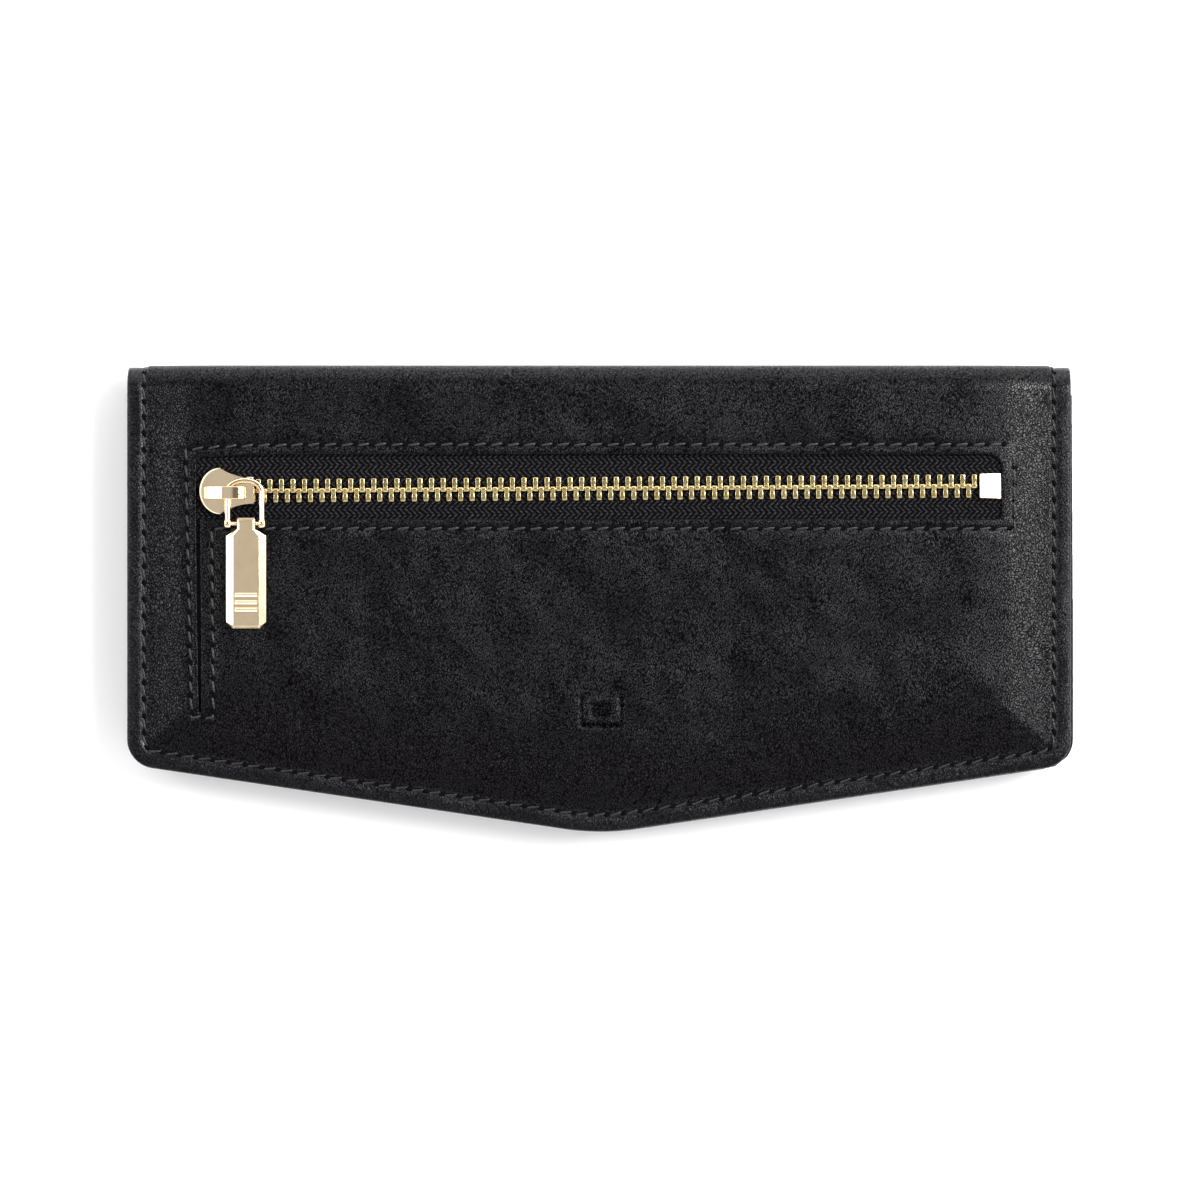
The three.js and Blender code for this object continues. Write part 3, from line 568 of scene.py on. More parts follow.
def tape_cloth():
    """Zip tape: slanting threads that turn back and forth across it, as herringbone does."""
    s = Shader("zip_tape_twill")
    where = s.shifted(s.along_sheet(), 0.6, 0.5)
    axes = s.node("ShaderNodeSeparateXYZ", {0: where})
    slant = s.math("PINGPONG", axes.outputs[1], 1.3)
    phase = s.times(s.plus(axes.outputs[0], slant), 2 * math.pi / 1.15)
    yarn = s.remap(s.math("SINE", phase), -0.2, 0.9, 0.0, 1.0)
    ends = s.times(axes.outputs[1], 2 * math.pi / 0.65)
    ply = s.remap(s.math("SINE", ends), -0.9, 0.5, 0.25, 1.0)
    fuzz = s.noise(where, 2.5, 4.0, 0.7)
    thread = s.times(s.times(yarn, ply), s.remap(fuzz, 0.38, 0.58, 0.1, 1.0))
    s.bump(s.plus(thread, s.times(fuzz, 0.3)), 0.2)
    s.color_between(thread, (0.0012, 0.0012, 0.0018), (0.034, 0.033, 0.038))
    s.set("Specular IOR Level", s.remap(thread, 0.0, 1.0, 0.03, 0.4))
    s.rough_by(fuzz, 0.45, 0.65)
    return s.material


def plated(name, color, deep, roughness, grain):
    """Plated metal, slightly uneven and a little deeper in colour in places."""
    s = Shader(name)
    s.set("Metallic", 1.0)
    where = s.in_space()
    cloud = s.noise(where, 0.3, 3.0, 0.5)
    fine = s.noise(where, 8.0, 2.0, 0.6)
    s.color_between(s.remap(cloud, 0.35, 0.7, 0.0, 0.6), color, deep)
    s.rough_by(fine, roughness * 0.7, roughness * 1.4)
    s.bump(s.plus(fine, s.times(cloud, 3.0)), grain)
    return s.material


def thread_material():
    """Twisted sewing thread. Its surface coordinate runs round a strand and along it."""
    s = Shader("sewing_thread")
    axes = s.node("ShaderNodeSeparateXYZ", {0: s.along_sheet()})
    around = s.times(axes.outputs[0], 6 * math.pi)
    turn = s.plus(around, s.times(axes.outputs[1], 9.0))
    ply = s.remap(s.math("SINE", turn), -1.0, 1.0, 0.0, 1.0)
    s.color_between(ply, (0.0015, 0.0015, 0.002), (0.012, 0.0115, 0.013))
    s.set("Roughness", s.remap(ply, 0.0, 1.0, 0.45, 0.28))
    s.bump(ply, 0.05)
    return s.material


def board_material():
    dark, light = (0.2, 0.17, 0.13), (0.42, 0.37, 0.3)
    s, fibres = mottled("bonded_board", dark, light, 2.2, 5.0, 0.7, 0.08, 0.2)
    s.rough_by(fibres, 0.75, 0.95)
    return s.material


def hole_shade_material():
    # A needle hole's shade: a dark colour painted on a lens that lies on the leather.
    dark, light = (0.0006, 0.0006, 0.0008), (0.003, 0.003, 0.0035)
    s, _ = mottled("needle_hole_shade", dark, light, 3.0, 3.0, 0.5, 0.1, 0.05)
    s.set("Roughness", 0.95)
    return s.material


# The cover leather's colour runs between these two; the darkest end is reached in the creases, where the
# leather shader paints shade.
COVER_DARK = (0.0004, 0.0002, 0.0006)
COVER_LIGHT = (0.0022, 0.0013, 0.0032)
COVER = leather("cover_leather", COVER_DARK, COVER_LIGHT, 0.44, 0.026, 0.33, rim=True)
INNER = leather("inner_leather", (0.003, 0.0028, 0.0034), (0.012, 0.011, 0.013), 0.55, 0.08, 0.3)
EDGE_DARK = (0.004, 0.0038, 0.0045)
EDGE_LIGHT = (0.014, 0.013, 0.015)
INNER_EDGE = leather("inner_leather_edge", EDGE_DARK, EDGE_LIGHT, 0.55, 0.07, 0.3, uv=False)
PAINT = edge_paint()
LINING = woven("lining_twill", (0.006, 0.006, 0.0075), (0.03, 0.03, 0.034), 0.42, 0.06, 0.75)
POCKET = woven("pocket_cloth", (0.005, 0.005, 0.006), (0.022, 0.022, 0.025), 0.36, 0.05, 0.8)
TAPE = tape_cloth()
THREAD = thread_material()
HOLE_SHADE = hole_shade_material()
PULL_GOLD = plated("pull_gold", (0.87, 0.7, 0.48), (0.8, 0.6, 0.38), 0.1, 0.002)
TOOTH_GOLD = plated("tooth_gold", (0.62, 0.5, 0.25), (0.42, 0.32, 0.13), 0.2, 0.006)
SNAP_GOLD = plated("snap_gold", (0.7, 0.56, 0.36), (0.55, 0.42, 0.25), 0.24, 0.004)
BOARD = board_material()

# ---- The leather's surface ----

# The seam round the window and its slit, as corner points.
WINDOW_SEAM = [
    (-79.7, WINDOW_LOW - 1.95), (85.1, WINDOW_LOW - 1.95),
    (84.9, WINDOW_HIGH + 2), (-85.1, WINDOW_HIGH + 2), (-84.8, WINDOW_LOW),
    (-83.9, SLIT_END - 1), (-79.4, SLIT_END - 1), (-79.7, WINDOW_LOW - 1.95),
]


def bow(x):
    """How the window's top edge rises from its left end."""
    return 0.4 - 0.85 * np.exp(-(x - WINDOW_LEFT) / 9)


def slit_sides(y):
    """The slit's left and right edge at a height, leaning and closing towards its lower end."""
    share = np.clip((WINDOW_LOW - y) / (WINDOW_LOW - SLIT_END), 0, 1)
    top = (WINDOW_LEFT + SLIT_RIGHT) / 2
    middle = top + (SLIT_END_X - top) * share
    half = 0.04 + ((SLIT_RIGHT - WINDOW_LEFT) / 2 - 0.04) * np.sqrt(np.clip(1 - share**3, 0, 1))
    return middle - half, middle + half


def lean(x, y):
    """Moves the cover's grid sideways so that two of its lines become the slit's edges."""
    left, right = slit_sides(y)
    below = smoothstep(y, SLIT_END - 5, SLIT_END)
    above = 1 - smoothstep(y, WINDOW_LOW, WINDOW_LOW + 4)
    near_left = np.clip(1 - (WINDOW_LEFT - x) / 7, 0, 1)
    near_right = np.clip(1 - (x - SLIT_RIGHT) / 7, 0, 1)
    on_left = (left - WINDOW_LEFT) * near_left
    on_right = (right - SLIT_RIGHT) * near_right
    return x + np.where(x <= WINDOW_LEFT, on_left, on_right) * below * above


def round_corners(x, y):
    """Moves the grid round the window so that the window's corners become round."""
    for (side, up), radius in CORNER_ROUNDS.items():
        corner_x = WINDOW_RIGHT if side > 0 else WINDOW_LEFT
        corner_y = WINDOW_HIGH if up > 0 else WINDOW_LOW
        a = (x - corner_x) * side
        b = (y - corner_y) * up
        on_top = b >= a
        along = np.clip(-np.where(on_top, a, b), 0, radius)
        angle = math.pi / 4 * (1 + along / radius)
        across = radius * (np.sin(angle) - 1)
        ahead = along - radius * (1 - np.cos(angle))
        fade = np.clip(1 - np.maximum(a, b) / (2.5 * radius), 0, 1) * (np.maximum(a, b) >= -0.01)
        fade *= along < radius
        x = x + side * fade * np.where(on_top, ahead, across)
        y = y + up * fade * np.where(on_top, across, ahead)
    return x, y


def hole_distance(x, y):
    """How far a point of the straight grid lies outside the window and the slit."""
    window = np.hypot(outside(x, WINDOW_LEFT, WINDOW_RIGHT), outside(y, WINDOW_LOW, WINDOW_HIGH))
    slit = np.hypot(outside(x, WINDOW_LEFT, SLIT_RIGHT), np.maximum(SLIT_END - y, 0))
    return np.minimum(window, np.where(y < WINDOW_HIGH, slit, 99))


def line_distance(x, y, corners):
    """How far points lie from a line through corners."""
    nearest = np.full(np.broadcast(x, y).shape, 99.0)
    for (x0, y0), (x1, y1) in zip(corners, corners[1:]):
        length = math.hypot(x1 - x0, y1 - y0)
        share = np.clip(((x - x0) * (x1 - x0) + (y - y0) * (y1 - y0)) / length**2, 0, 1)
        distance = np.hypot(x - x0 - share * (x1 - x0), y - y0 - share * (y1 - y0))
        nearest = np.minimum(nearest, distance)
    return nearest


def mark_relief(x, y):
    """A plain pressed frame with a small bar inside it, from 0 to 1."""
    wide = np.abs(x - MARK_X) - MARK_HALF[0]
    tall = np.abs(y - MARK_Y) - MARK_HALF[1]
    outline = smoothstep(-np.abs(np.maximum(wide, tall) + 0.5), -0.55, -0.25)
    bar = smoothstep(-np.maximum(wide + 2.4, tall + 2.1), -0.1, 0.2)
    return np.maximum(outline, bar)


def flap_height(x, y):
    """The flap's face: a pressed rim, a shoulder behind the seam and a full middle."""
    inset = edge_distance(x - SHELL_X, y)
    side = np.clip((side_distance(x) - SEAM_INSET + 0.4) / (RAMP_END - SEAM_INSET), 0, 1)
    low = np.clip((inset - SEAM_INSET) / (LOW_RAMP_END - SEAM_INSET), 0, 1)
    full = (1 - (1 - side) ** 2) * (1 - (1 - low) ** 2)
    height = RIM_Z + (TOP_Z - RIM_Z) * full
    crown = 0.12 * np.clip(1 - ((inset - 1.9) / 1.7) ** 2, 0, 1)
    seam = groove(inset - SEAM_INSET, 0.5, 0.25)
    risen = y - bow(x) * smoothstep(y, WINDOW_LOW + 2, WINDOW_HIGH)
    window_seam = groove(line_distance(x, risen, WINDOW_SEAM), 0.45, 0.18)
    slack = 0.011 * waves(x, y, 16, 3) + 0.005 * waves(x, y, 5, 4)
    smooth = height + crown - seam - window_seam
    return smooth + slack * smoothstep(inset, 3, 9) - 0.3 * mark_relief(x, y)


def back_height(x, y):
    """The back's face, measured outwards: flat, with the pressed seam round its edge."""
    inset = edge_distance(x - SHELL_X, y)
    uneven = 0.03 + 0.03 * waves(x, y, 18, 5)
    return -groove(inset - SEAM_INSET, 0.5, 0.2) - uneven * smoothstep(inset, 3, 9)


def spine_drop(x):
    """How far the fold sits back at the seams, near the wallet's sides."""
    from_side = side_distance(x)
    ear = 1 - smoothstep(from_side, SEAM_INSET - 0.7, SEAM_INSET + 1.2)
    return EAR_DROP * ear + groove(from_side - SEAM_INSET, 0.5, 0.3)


def shell_points(x, run, sign, depth=0.0):
    """Points of the leather at x and a distance run along it, sunk by depth below its outer face.

    run equals Y as far as the fold, goes on round the fold and then down the spine. The flap's
    half has sign 1 and the back's half -1.
    """
    flat = np.minimum(run, FLAT_END_Y)
    height = flap_height(x, flat) if sign > 0 else back_height(x, flat)
    turned = np.clip((run - FLAT_END_Y) / FOLD_RADIUS, 0, math.pi / 2)
    down = np.maximum(run - FLAT_END_Y - FOLD_RADIUS * math.pi / 2, 0)
    radius = FOLD_RADIUS - depth
    y = flat - spine_drop(x) * smoothstep(flat, FLAT_END_Y - 7, FLAT_END_Y) + radius * np.sin(turned)
    level = height - FOLD_RADIUS + radius * np.cos(turned) - down
    return np.stack(np.broadcast_arrays(x, y, sign * level), -1)


def run_end(x, sign):
    """How far the leather runs at x before it reaches the middle of the spine."""
    level = shell_points(x, np.full_like(x, FLAT_END_Y), sign)[..., 2] * sign
    return FLAT_END_Y + FOLD_RADIUS * math.pi / 2 + level - FOLD_RADIUS - sign * MIDDLE_Z


def bend_with_fold(piece, sign):
    """Bakes a piece's placement into its mesh, the same way for the flap's half (sign 1) and the back's
    (sign -1).
    """
    if sign > 0:
        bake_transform(piece)
    else:
        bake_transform(piece)


def fold_runs(x, sign):
    """Rows round the fold and down the spine for each x."""
    arc = FLAT_END_Y + FOLD_RADIUS * np.linspace(0, math.pi / 2, 11)[1:]
    end = run_end(x, sign)[:, None]
    spine = arc[-1] + (end - arc[-1]) * np.linspace(0, 1, 7)[None, 1:]
    return np.concatenate([np.broadcast_to(arc, (len(x), len(arc))), spine], 1)


def low_rows(x, first_y, steps, count, inset=0.0):
    """Rows that follow the lower edge at first and reach the straight line first_y at last."""
    edge = low_edge(x, inset)[:, None] + np.array(steps)[None, :]
    share = np.linspace(0, 1, count + 1)[None, 1:]
    return np.concatenate([edge, edge[:, -1:] + (first_y - edge[:, -1:]) * share], 1)


def leather_half(name, sign):
    """The flap's half of the leather (sign 1) or the back's half (sign -1), each to mid spine."""
    flap = sign > 0
    steps = [*EDGE_STEPS, 7.2, 8.2, 9.3, 10.5]
    special = [[SHELL_X + s * (HALF_WIDTH - d) for s in (-1, 1) for d in steps]]
    if flap:
        special.append([WINDOW_LEFT - d for d in HOLE_STEPS])
        special.append([SLIT_RIGHT + d for d in [*HOLE_STEPS, 2.8, 3.1]])
        special.append([WINDOW_RIGHT + d for d in HOLE_STEPS])
        special.append(np.arange(MARK_X - 5, MARK_X + 5.1, 0.38))
    x_lines = spread(SHELL_X - HALF_WIDTH, SHELL_X + HALF_WIDTH, 1.7, *special)
    window = [WINDOW_LOW - d for d in HOLE_STEPS] + [WINDOW_HIGH + d for d in HOLE_STEPS]
    by_fold = [FLAT_END_Y - 0.6, FLAT_END_Y - 1.6]
    straight = spread(STRAIGHT_Y - 0.2, FLAT_END_Y, 1.4, window if flap else [], by_fold)
    first = low_rows(x_lines - SHELL_X, STRAIGHT_Y - 0.6, EDGE_STEPS, 66 if flap else 20)
    x, run = grid(x_lines, first, straight, fold_runs(x_lines, sign))
    keep = None
    inset = np.where(run > 0, side_distance(x), edge_distance(x - SHELL_X, run))
    drop = rounding(inset, EDGE_ROUND)
    if flap:
        middle_x = (x[1:, 1:] + x[:-1, 1:]) / 2
        middle_y = (run[1:, 1:] + run[1:, :-1]) / 2
        in_window = (middle_x < WINDOW_RIGHT) & (middle_y > WINDOW_LOW)
        in_slit = (middle_x < SLIT_RIGHT) & (middle_y > SLIT_END)
        keep = ~((in_window | in_slit) & (middle_x > WINDOW_LEFT) & (middle_y < WINDOW_HIGH))
        drop = np.maximum(drop, rounding(hole_distance(x, run), 0.42))
        x, run = round_corners(x, run)
        x = lean(x, run)
        rise = smoothstep(run, WINDOW_LOW + 2, WINDOW_HIGH)
        rise = rise * (1 - smoothstep(run, WINDOW_HIGH, WINDOW_HIGH + 9))
        run = run + bow(np.maximum(x, WINDOW_LEFT)) * rise * smoothstep(x, WINDOW_LEFT - 9, WINDOW_LEFT)
    outer = shell_points(x, run, sign, drop)
    inner = shell_points(x, run, sign, LEATHER - drop * 0.5)
    # The leather's finish takes 1 for the smoothed rim and 0 for the open grain; in the mark it drops
    # below 0, which paints the pressed lines darker, as shade.
    pressed = 1 - smoothstep(inset, SEAM_INSET - 0.3, SEAM_INSET + 0.5)
    if flap:
        pressed = pressed - 1.6 * mark_relief(x, run)
    uv = np.stack([x, run], -1)
    made = sheet_from_grid(name, outer, inner, uv, [COVER, PAINT], keep, flipped=not flap, rim=pressed)
    bend_with_fold(made, sign)
    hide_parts("flap_cover" if flap else "back_cover", "spine_cover")


def lining_half(name, sign, node, material):
    """A half's lining: a flat sheet inside the wallet that runs on behind the spine's leather."""
    low, high = box(node)
    inset = HALF_WIDTH - (high[0] - low[0]) / 2
    centre = (high[0] + low[0]) / 2
    thick = high[2] - low[2]
    x_lines = centre + spread(inset - HALF_WIDTH, HALF_WIDTH - inset, 3)
    first = low_rows(x_lines - centre, STRAIGHT_Y - 1, [0, 0.15, 0.5, 1.5], 8, inset)
    x, run = grid(x_lines, first, spread(STRAIGHT_Y, FLAT_END_Y, 2), fold_runs(x_lines, sign))
    joined = smoothstep(run, high[1] - 1, FLAT_END_Y + 3)[..., None]

    def face(z, depth):
        """A face at height z that turns with the leather, at a depth behind its outer face."""
        flat = np.stack([x, np.minimum(run, FLAT_END_Y + 1), np.full(x.shape, z)], -1)
        return flat + (shell_points(x, run, sign, depth) - flat) * joined

    inner_z, outer_z = (low[2], high[2])[::sign]
    outer = face(outer_z, LEATHER + LINING_GAP)
    inner = face(inner_z, LEATHER + (LINING_GAP + thick))
    made = sheet_from_grid(name, outer, inner, np.stack([x, run], -1), [material], flipped=sign < 0)
    bend_with_fold(made, sign)
    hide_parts(node, "spine_lining")


# ---- Threads ----


def rim_line(sign):
    """The rim's seam as (x, run) points, from the spine's left end round to its right end."""
    side = HALF_WIDTH - SEAM_INSET
    ends = SHELL_X + np.array([-side, side])
    tops = run_end(ends, sign)
    across = np.linspace(-side, side, 1601)
    low = np.column_stack([SHELL_X + across, low_edge(across, SEAM_INSET)])
    return np.concatenate([[(ends[0], tops[0])], low, [(ends[1], tops[1])]])


def stitches(name, line, sign, slant=0.28):
    """Slanting stitches along a line of the leather's surface, with a dark lens at each end that paints
    a needle hole's shade.
    """
    line = np.asarray(line, float)
    travelled = np.concatenate([[0], np.cumsum(np.hypot(*np.diff(line, axis=0).T))])
    count = round(travelled[-1] / STITCH)
    spacing = travelled[-1] / count
    rng = np.random.default_rng(len(line))
    nearby = 0.2

    def on_line(along):
        return np.array([np.interp(along, travelled, values) for values in line.T])

    def place(along, across, depth):
        """A point on the surface beside the line, with the outward and sideways directions there."""
        along = np.clip(along, 0, travelled[-1])
        ahead_x, ahead_run = on_line(along + nearby) - on_line(along - nearby)
        length = np.hypot(ahead_x, ahead_run)
        side_x, side_run = -ahead_run / length, ahead_x / length
        x, run = on_line(along)
        x, run = x + across * side_x, run + across * side_run
        point = shell_points(x, run, sign, depth)
        outward = shell_points(x, run, sign, depth - 0.5) - point
        beside = shell_points(x + nearby * side_x, run + nearby * side_run, sign, depth) - point
        outward /= np.linalg.norm(outward, axis=-1, keepdims=True)
        beside /= np.linalg.norm(beside, axis=-1, keepdims=True)
        return point, outward, beside

    rings, sides = 9, 8
    t = np.linspace(-1, 1, rings)[None, :]
    middle = (np.arange(count)[:, None] + 0.5) * spacing + rng.uniform(-0.06, 0.06, (count, 1))
    along = middle + t * spacing * 0.42
    across = slant * t + rng.uniform(-0.04, 0.04, (count, 1))
    depth = -0.12 + 0.5 * t**4 + np.zeros((count, 1))
    point, outward, beside = place(along, across, depth)
    radius = (THREAD_RADIUS * (1 - 0.45 * np.abs(t) ** 3))[..., None, None]
    turn = circle(sides)
    beside, outward = turn[:, :1] * beside[:, :, None], 0.85 * turn[:, 1:] * outward[:, :, None]
    strand = point[:, :, None] + radius * (beside + outward)
    around = np.broadcast_to(np.linspace(0, 1, sides), strand.shape[:3])
    strand_uv = np.stack([around, np.broadcast_to(along[..., None], around.shape)], -1)
    faces = []
    for base in range(0, count * rings * sides, rings * sides):
        closed = loft_faces(rings, sides, base)
        faces += [face[::-1] for face in closed] if sign > 0 else closed
    kinds = [0] * len(faces)

    # A hole is a shallow lens painted dark as the hole's shade, longest along the seam. Its top and
    # bottom follow its edge points.
    hole = (np.arange(count + 1) * spacing)[:, None]
    edge_count = 10
    turn_along, turn_across = circle(edge_count).T
    lens_along = hole + HOLE_REACH[0] * turn_along + 0.25 * slant * turn_across
    lens_across = HOLE_REACH[1] * turn_across + 0.25 * slant * turn_along + np.zeros_like(hole)
    edge, _, _ = place(lens_along, lens_across, 0.02)
    top, _, _ = place(hole, np.zeros_like(hole), -0.05)
    bottom, _, _ = place(hole, np.zeros_like(hole), 0.2)
    lens = np.concatenate([edge, top, bottom], 1)
    points = np.concatenate([strand.reshape(-1, 3), lens.reshape(-1, 3)])
    uv = np.concatenate([strand_uv.reshape(-1, 2), np.zeros((lens[..., 0].size, 2))])
    for first in range(strand[..., 0].size, len(points), edge_count + 2):
        for i in range(edge_count):
            j = (i + 1) % edge_count
            faces.append([first + i, first + j, first + edge_count])
            faces.append([first + j, first + i, first + edge_count + 1])
    kinds += [1] * (len(faces) - len(kinds))
    made = new_mesh(name, points, faces, uv, [THREAD, HOLE_SHADE], kinds)
    face_outwards(made)
    return made


def window_line():
    """The seam round the window and the slit as (x, run) points, with rounded right corners."""
    line = []
    for (x0, y0), (x1, y1) in zip(WINDOW_SEAM, WINDOW_SEAM[1:]):
        steps = max(2, int(math.hypot(x1 - x0, y1 - y0)))
        for k in range(steps):
            line.append((x0 + (x1 - x0) * k / steps, y0 + (y1 - y0) * k / steps))
    line = np.array(line + [WINDOW_SEAM[-1]])
    line[:, 1] += bow(line[:, 0]) * smoothstep(line[:, 1], WINDOW_LOW + 2, WINDOW_HIGH)
    return line


def make_shell():
    leather_half("flap_leather", 1)
    leather_half("back_leather", -1)
    lining_half("flap_and_spine_lining", 1, "flap_lining", INNER)
    lining_half("back_and_spine_lining", -1, "back_lining", LINING)
    for name, sign in (("flap_rim_thread", 1), ("back_rim_thread", -1)):
        bend_with_fold(stitches(name, rim_line(sign), sign), sign)
    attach(stitches("window_thread", window_line(), 1, 0.2), "flap")


# ---- Zip ----

STOP_LOW, STOP_HIGH = box("zip_bottom_stop")
SLIDER_LOW, SLIDER_HIGH = box("slider_body")
SLIDER_ROUND = (4.4, 4.8)
SLIDER_X = SLIDER_LOW[0] + SLIDER_ROUND[0]
CHAIN_Y = (SLIDER_LOW[1] + SLIDER_HIGH[1]) / 2
CHAIN_TILT = math.radians(0.39)  # how far off the width's direction the zip was sewn in
CHAIN_Z = (box("zip_teeth_upper")[0][2] + box("zip_teeth_upper")[1][2]) / 2
TOOTH_PITCH = 2.37
TOOTH_WIDTH = 1.05
TOOTH_BACK = 2.4
# How far from the chain's middle a tape begins and ends, and its cord and its sewing line lie.
TAPE_FROM = 0.72
TAPE_TO = 11
CORD_OUT = 1.25
SEWING_OUT = 2.85


def tilted(piece):
    """Turns a piece that was made straight along X to the zip's own direction."""
    pivot = Matrix.Translation((SLIDER_X * MM, CHAIN_Y * MM, 0))
    piece.data.transform(pivot @ Matrix.Rotation(CHAIN_TILT, 4, "Z") @ pivot.inverted())
    return piece


def bend_with_zip(piece):
    """Turns a piece to the zip's direction and bakes its placement into its mesh."""
    tilted(piece)
    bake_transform(piece)


def tooth_rings(x, side):
    """One tooth, from the tip of its interlocking head to its back end on the tape."""
    shape = [  # how far out from the chain's middle, half width, half height
        (-0.6, 0.2, 0.35), (-0.54, 0.4, 0.7), (-0.35, 0.54, 0.98), (0, 0.57, 1.08),
        (0.3, 0.55, 1.04), (0.55, 0.48, 0.88), (0.85, 0.47, 0.84), (1.1, 0.51, 0.88),
        (TOOTH_BACK - 0.2, 0.52, 0.88), (TOOTH_BACK - 0.05, 0.48, 0.83), (TOOTH_BACK, 0.4, 0.75),
    ]
    sides = 16
    angles = np.linspace(0, 2 * math.pi, sides, endpoint=False) + math.pi / sides
    across, up = (np.sign(v) * np.abs(v) ** 0.2 for v in (np.cos(angles), np.sin(angles)))
    rings = []
    for out, half_width, half_height in shape:
        y = np.full(sides, CHAIN_Y + side * out)
        rings.append(np.stack([x + half_width * across, y, CHAIN_Z + half_height * up], 1)[::-side])
    return rings


def teeth_row(side, word):
    low, high = box(f"zip_teeth_{word}")
    first = low[0] + TOOTH_WIDTH / 2
    count = round((high[0] - low[0] - TOOTH_WIDTH) / TOOTH_PITCH) + 1
    points, faces = [], []
    for k in range(count):
        rings = tooth_rings(first + k * TOOTH_PITCH, side)
        size = len(rings[0])
        faces += loft_faces(len(rings), size, len(points) * size)
        points += rings
    made = new_mesh(f"teeth_{word}", np.concatenate(points), faces, materials=[TOOTH_GOLD], crease=50)
    face_outwards(made)
    bend_with_zip(made)
    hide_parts(f"zip_teeth_{word}")


def tape_side(side, word):
    """A tape with a corded edge that the teeth clamp, and a raised sewing line beside them."""
    low, high = box(f"zip_tape_{word}")
    x_lines = spread(low[0], high[0], 1.5)
    near_cord = [0.75, 0.85, 1, CORD_OUT, 1.5, 1.65, 1.75, 1.9]
    near_line = [2.5, 2.65, 2.8, 2.95, 3.1, 3.3]
    y_lines = spread(TAPE_FROM, TAPE_TO, 0.8, near_cord, near_line)
    x, out = grid(x_lines, y_lines)
    cord = 0.42 * np.sqrt(np.clip(1 - ((out - CORD_OUT) / 0.55) ** 2, 0, 1))
    line = groove(out - SEWING_OUT, 0.22, 0.12) * (1 + 0.4 * np.sin(x * 2 * math.pi / TOOTH_PITCH))
    uneven = 0.04 * waves(x, out, 7, 8) * smoothstep(out, 3, 5)
    y = CHAIN_Y + side * out
    outer = np.stack([x, y, high[2] + cord + line + uneven - 0.1], -1)
    inner = np.stack([x, y, low[2] - cord + uneven + 0.05], -1)
    uv = np.stack([x, out], -1)
    made = sheet_from_grid(f"tape_{word}", outer, inner, uv, [TAPE], flipped=side < 0)
    bend_with_zip(made)
    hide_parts(f"zip_tape_{word}")


def top_stop(word, body):
    made = block(f"top_stop_{word}", *box(f"zip_top_stop_{word}"), TOOTH_GOLD)
    finish_piece(bevelled(made, 0.25), body, "zip_teeth", f"zip_top_stop_{word}")


def bottom_stop():
    """A folded block that clamps both tapes, a little wider at its outer end and tilted."""
    low, high = STOP_LOW, STOP_HIGH
    rings = []
    outline = [(low[0], low[1] + 0.15), (high[0], low[1]), (high[0], high[1]), (low[0], high[1] - 0.15)]
    for z, tilt in ((low[2], 0), (high[2] - 0.7, 0.17)):
        rings.append([(x, y, z + tilt * (high[0] - x) + 0.6 * tilt * (high[1] - y)) for x, y in outline])
    made = bevelled(lofted("bottom_stop", rings, PULL_GOLD, crease=30), 0.2)
    finish_piece(made, "flap", "pull_metal", "zip_bottom_stop")


def make_zip():
    for side, word in ((1, "upper"), (-1, "lower")):
        body = f"zip_side_{word}"
        teeth_row(side, word)
        tape_side(side, word)
        top_stop(word, body)
    bottom_stop()


# ---- Slider and pull ----

BRIDGE_LOW, BRIDGE_HIGH = box("slider_bridge")
PIN_LOW, PIN_HIGH = box("link_pin")
TAB_LOW, TAB_HIGH = box("pull_tab")
LINK_LOW, LINK_HIGH = box("pull_link")
WIRE_Z = (PIN_LOW[2] + PIN_HIGH[2]) / 2
PIN_Y = (PIN_LOW[1] + PIN_HIGH[1]) / 2
LINK_X = (PIN_LOW[0] + PIN_HIGH[0]) / 2
TAB_X = (TAB_LOW[0] + TAB_HIGH[0]) / 2
WIRE_RADIUS = 0.6
LINK_ARCH = 2.4
NOSE_HALF = 2.8
CHANNEL_HALF = 2.9  # the channel that the tapes run through, inside the slider
PLATE = 0.8  # how thick the slider's plates are over the channel
PLATE_EDGE = [(0.4, 0), (0.08, 0.2), (0, 0.35)]  # its rounding, as inset and distance from its face
STRAP = 0.75  # the bridge's thickness
BRIDGE_POST = 1.1
TAB_NECK_HALF = 1.95
GROOVE_HALF = (2.2, 0.45)  # a groove's half length and half width


def curve_to(start, bend, end, steps=14):
    """Points of a quadratic curve after its start."""
    start, bend, end = (np.array(point) for point in (start, bend, end))
    t = np.arange(1, steps + 1)[:, None] / steps
    return list((1 - t) ** 2 * start + 2 * t * (1 - t) * bend + t * t * end)


def slider_outline(inset, z):
    """The outline of the slider's plates, drawn in by an inset, at one height."""
    nose = SLIDER_HIGH[0] - inset * 0.4
    bend = SLIDER_X + 3.2
    half = NOSE_HALF - inset * 0.5
    round_x, round_y = SLIDER_ROUND[0] - inset, SLIDER_ROUND[1] - inset * 0.6
    lower = (nose, CHAIN_Y - half)
    upper = (nose, CHAIN_Y + half)
    top = (SLIDER_X, CHAIN_Y + round_y)
    outline = [lower, upper] + curve_to(upper, (bend, CHAIN_Y + half), top)
    for k in range(1, 33):
        angle = math.pi / 2 + math.pi * k / 32
        outline.append((SLIDER_X + round_x * math.cos(angle), CHAIN_Y + round_y * math.sin(angle)))
    outline += curve_to(outline[-1], (bend, CHAIN_Y - half), lower)[:-1]
    return [(x, y, z) for x, y in outline]


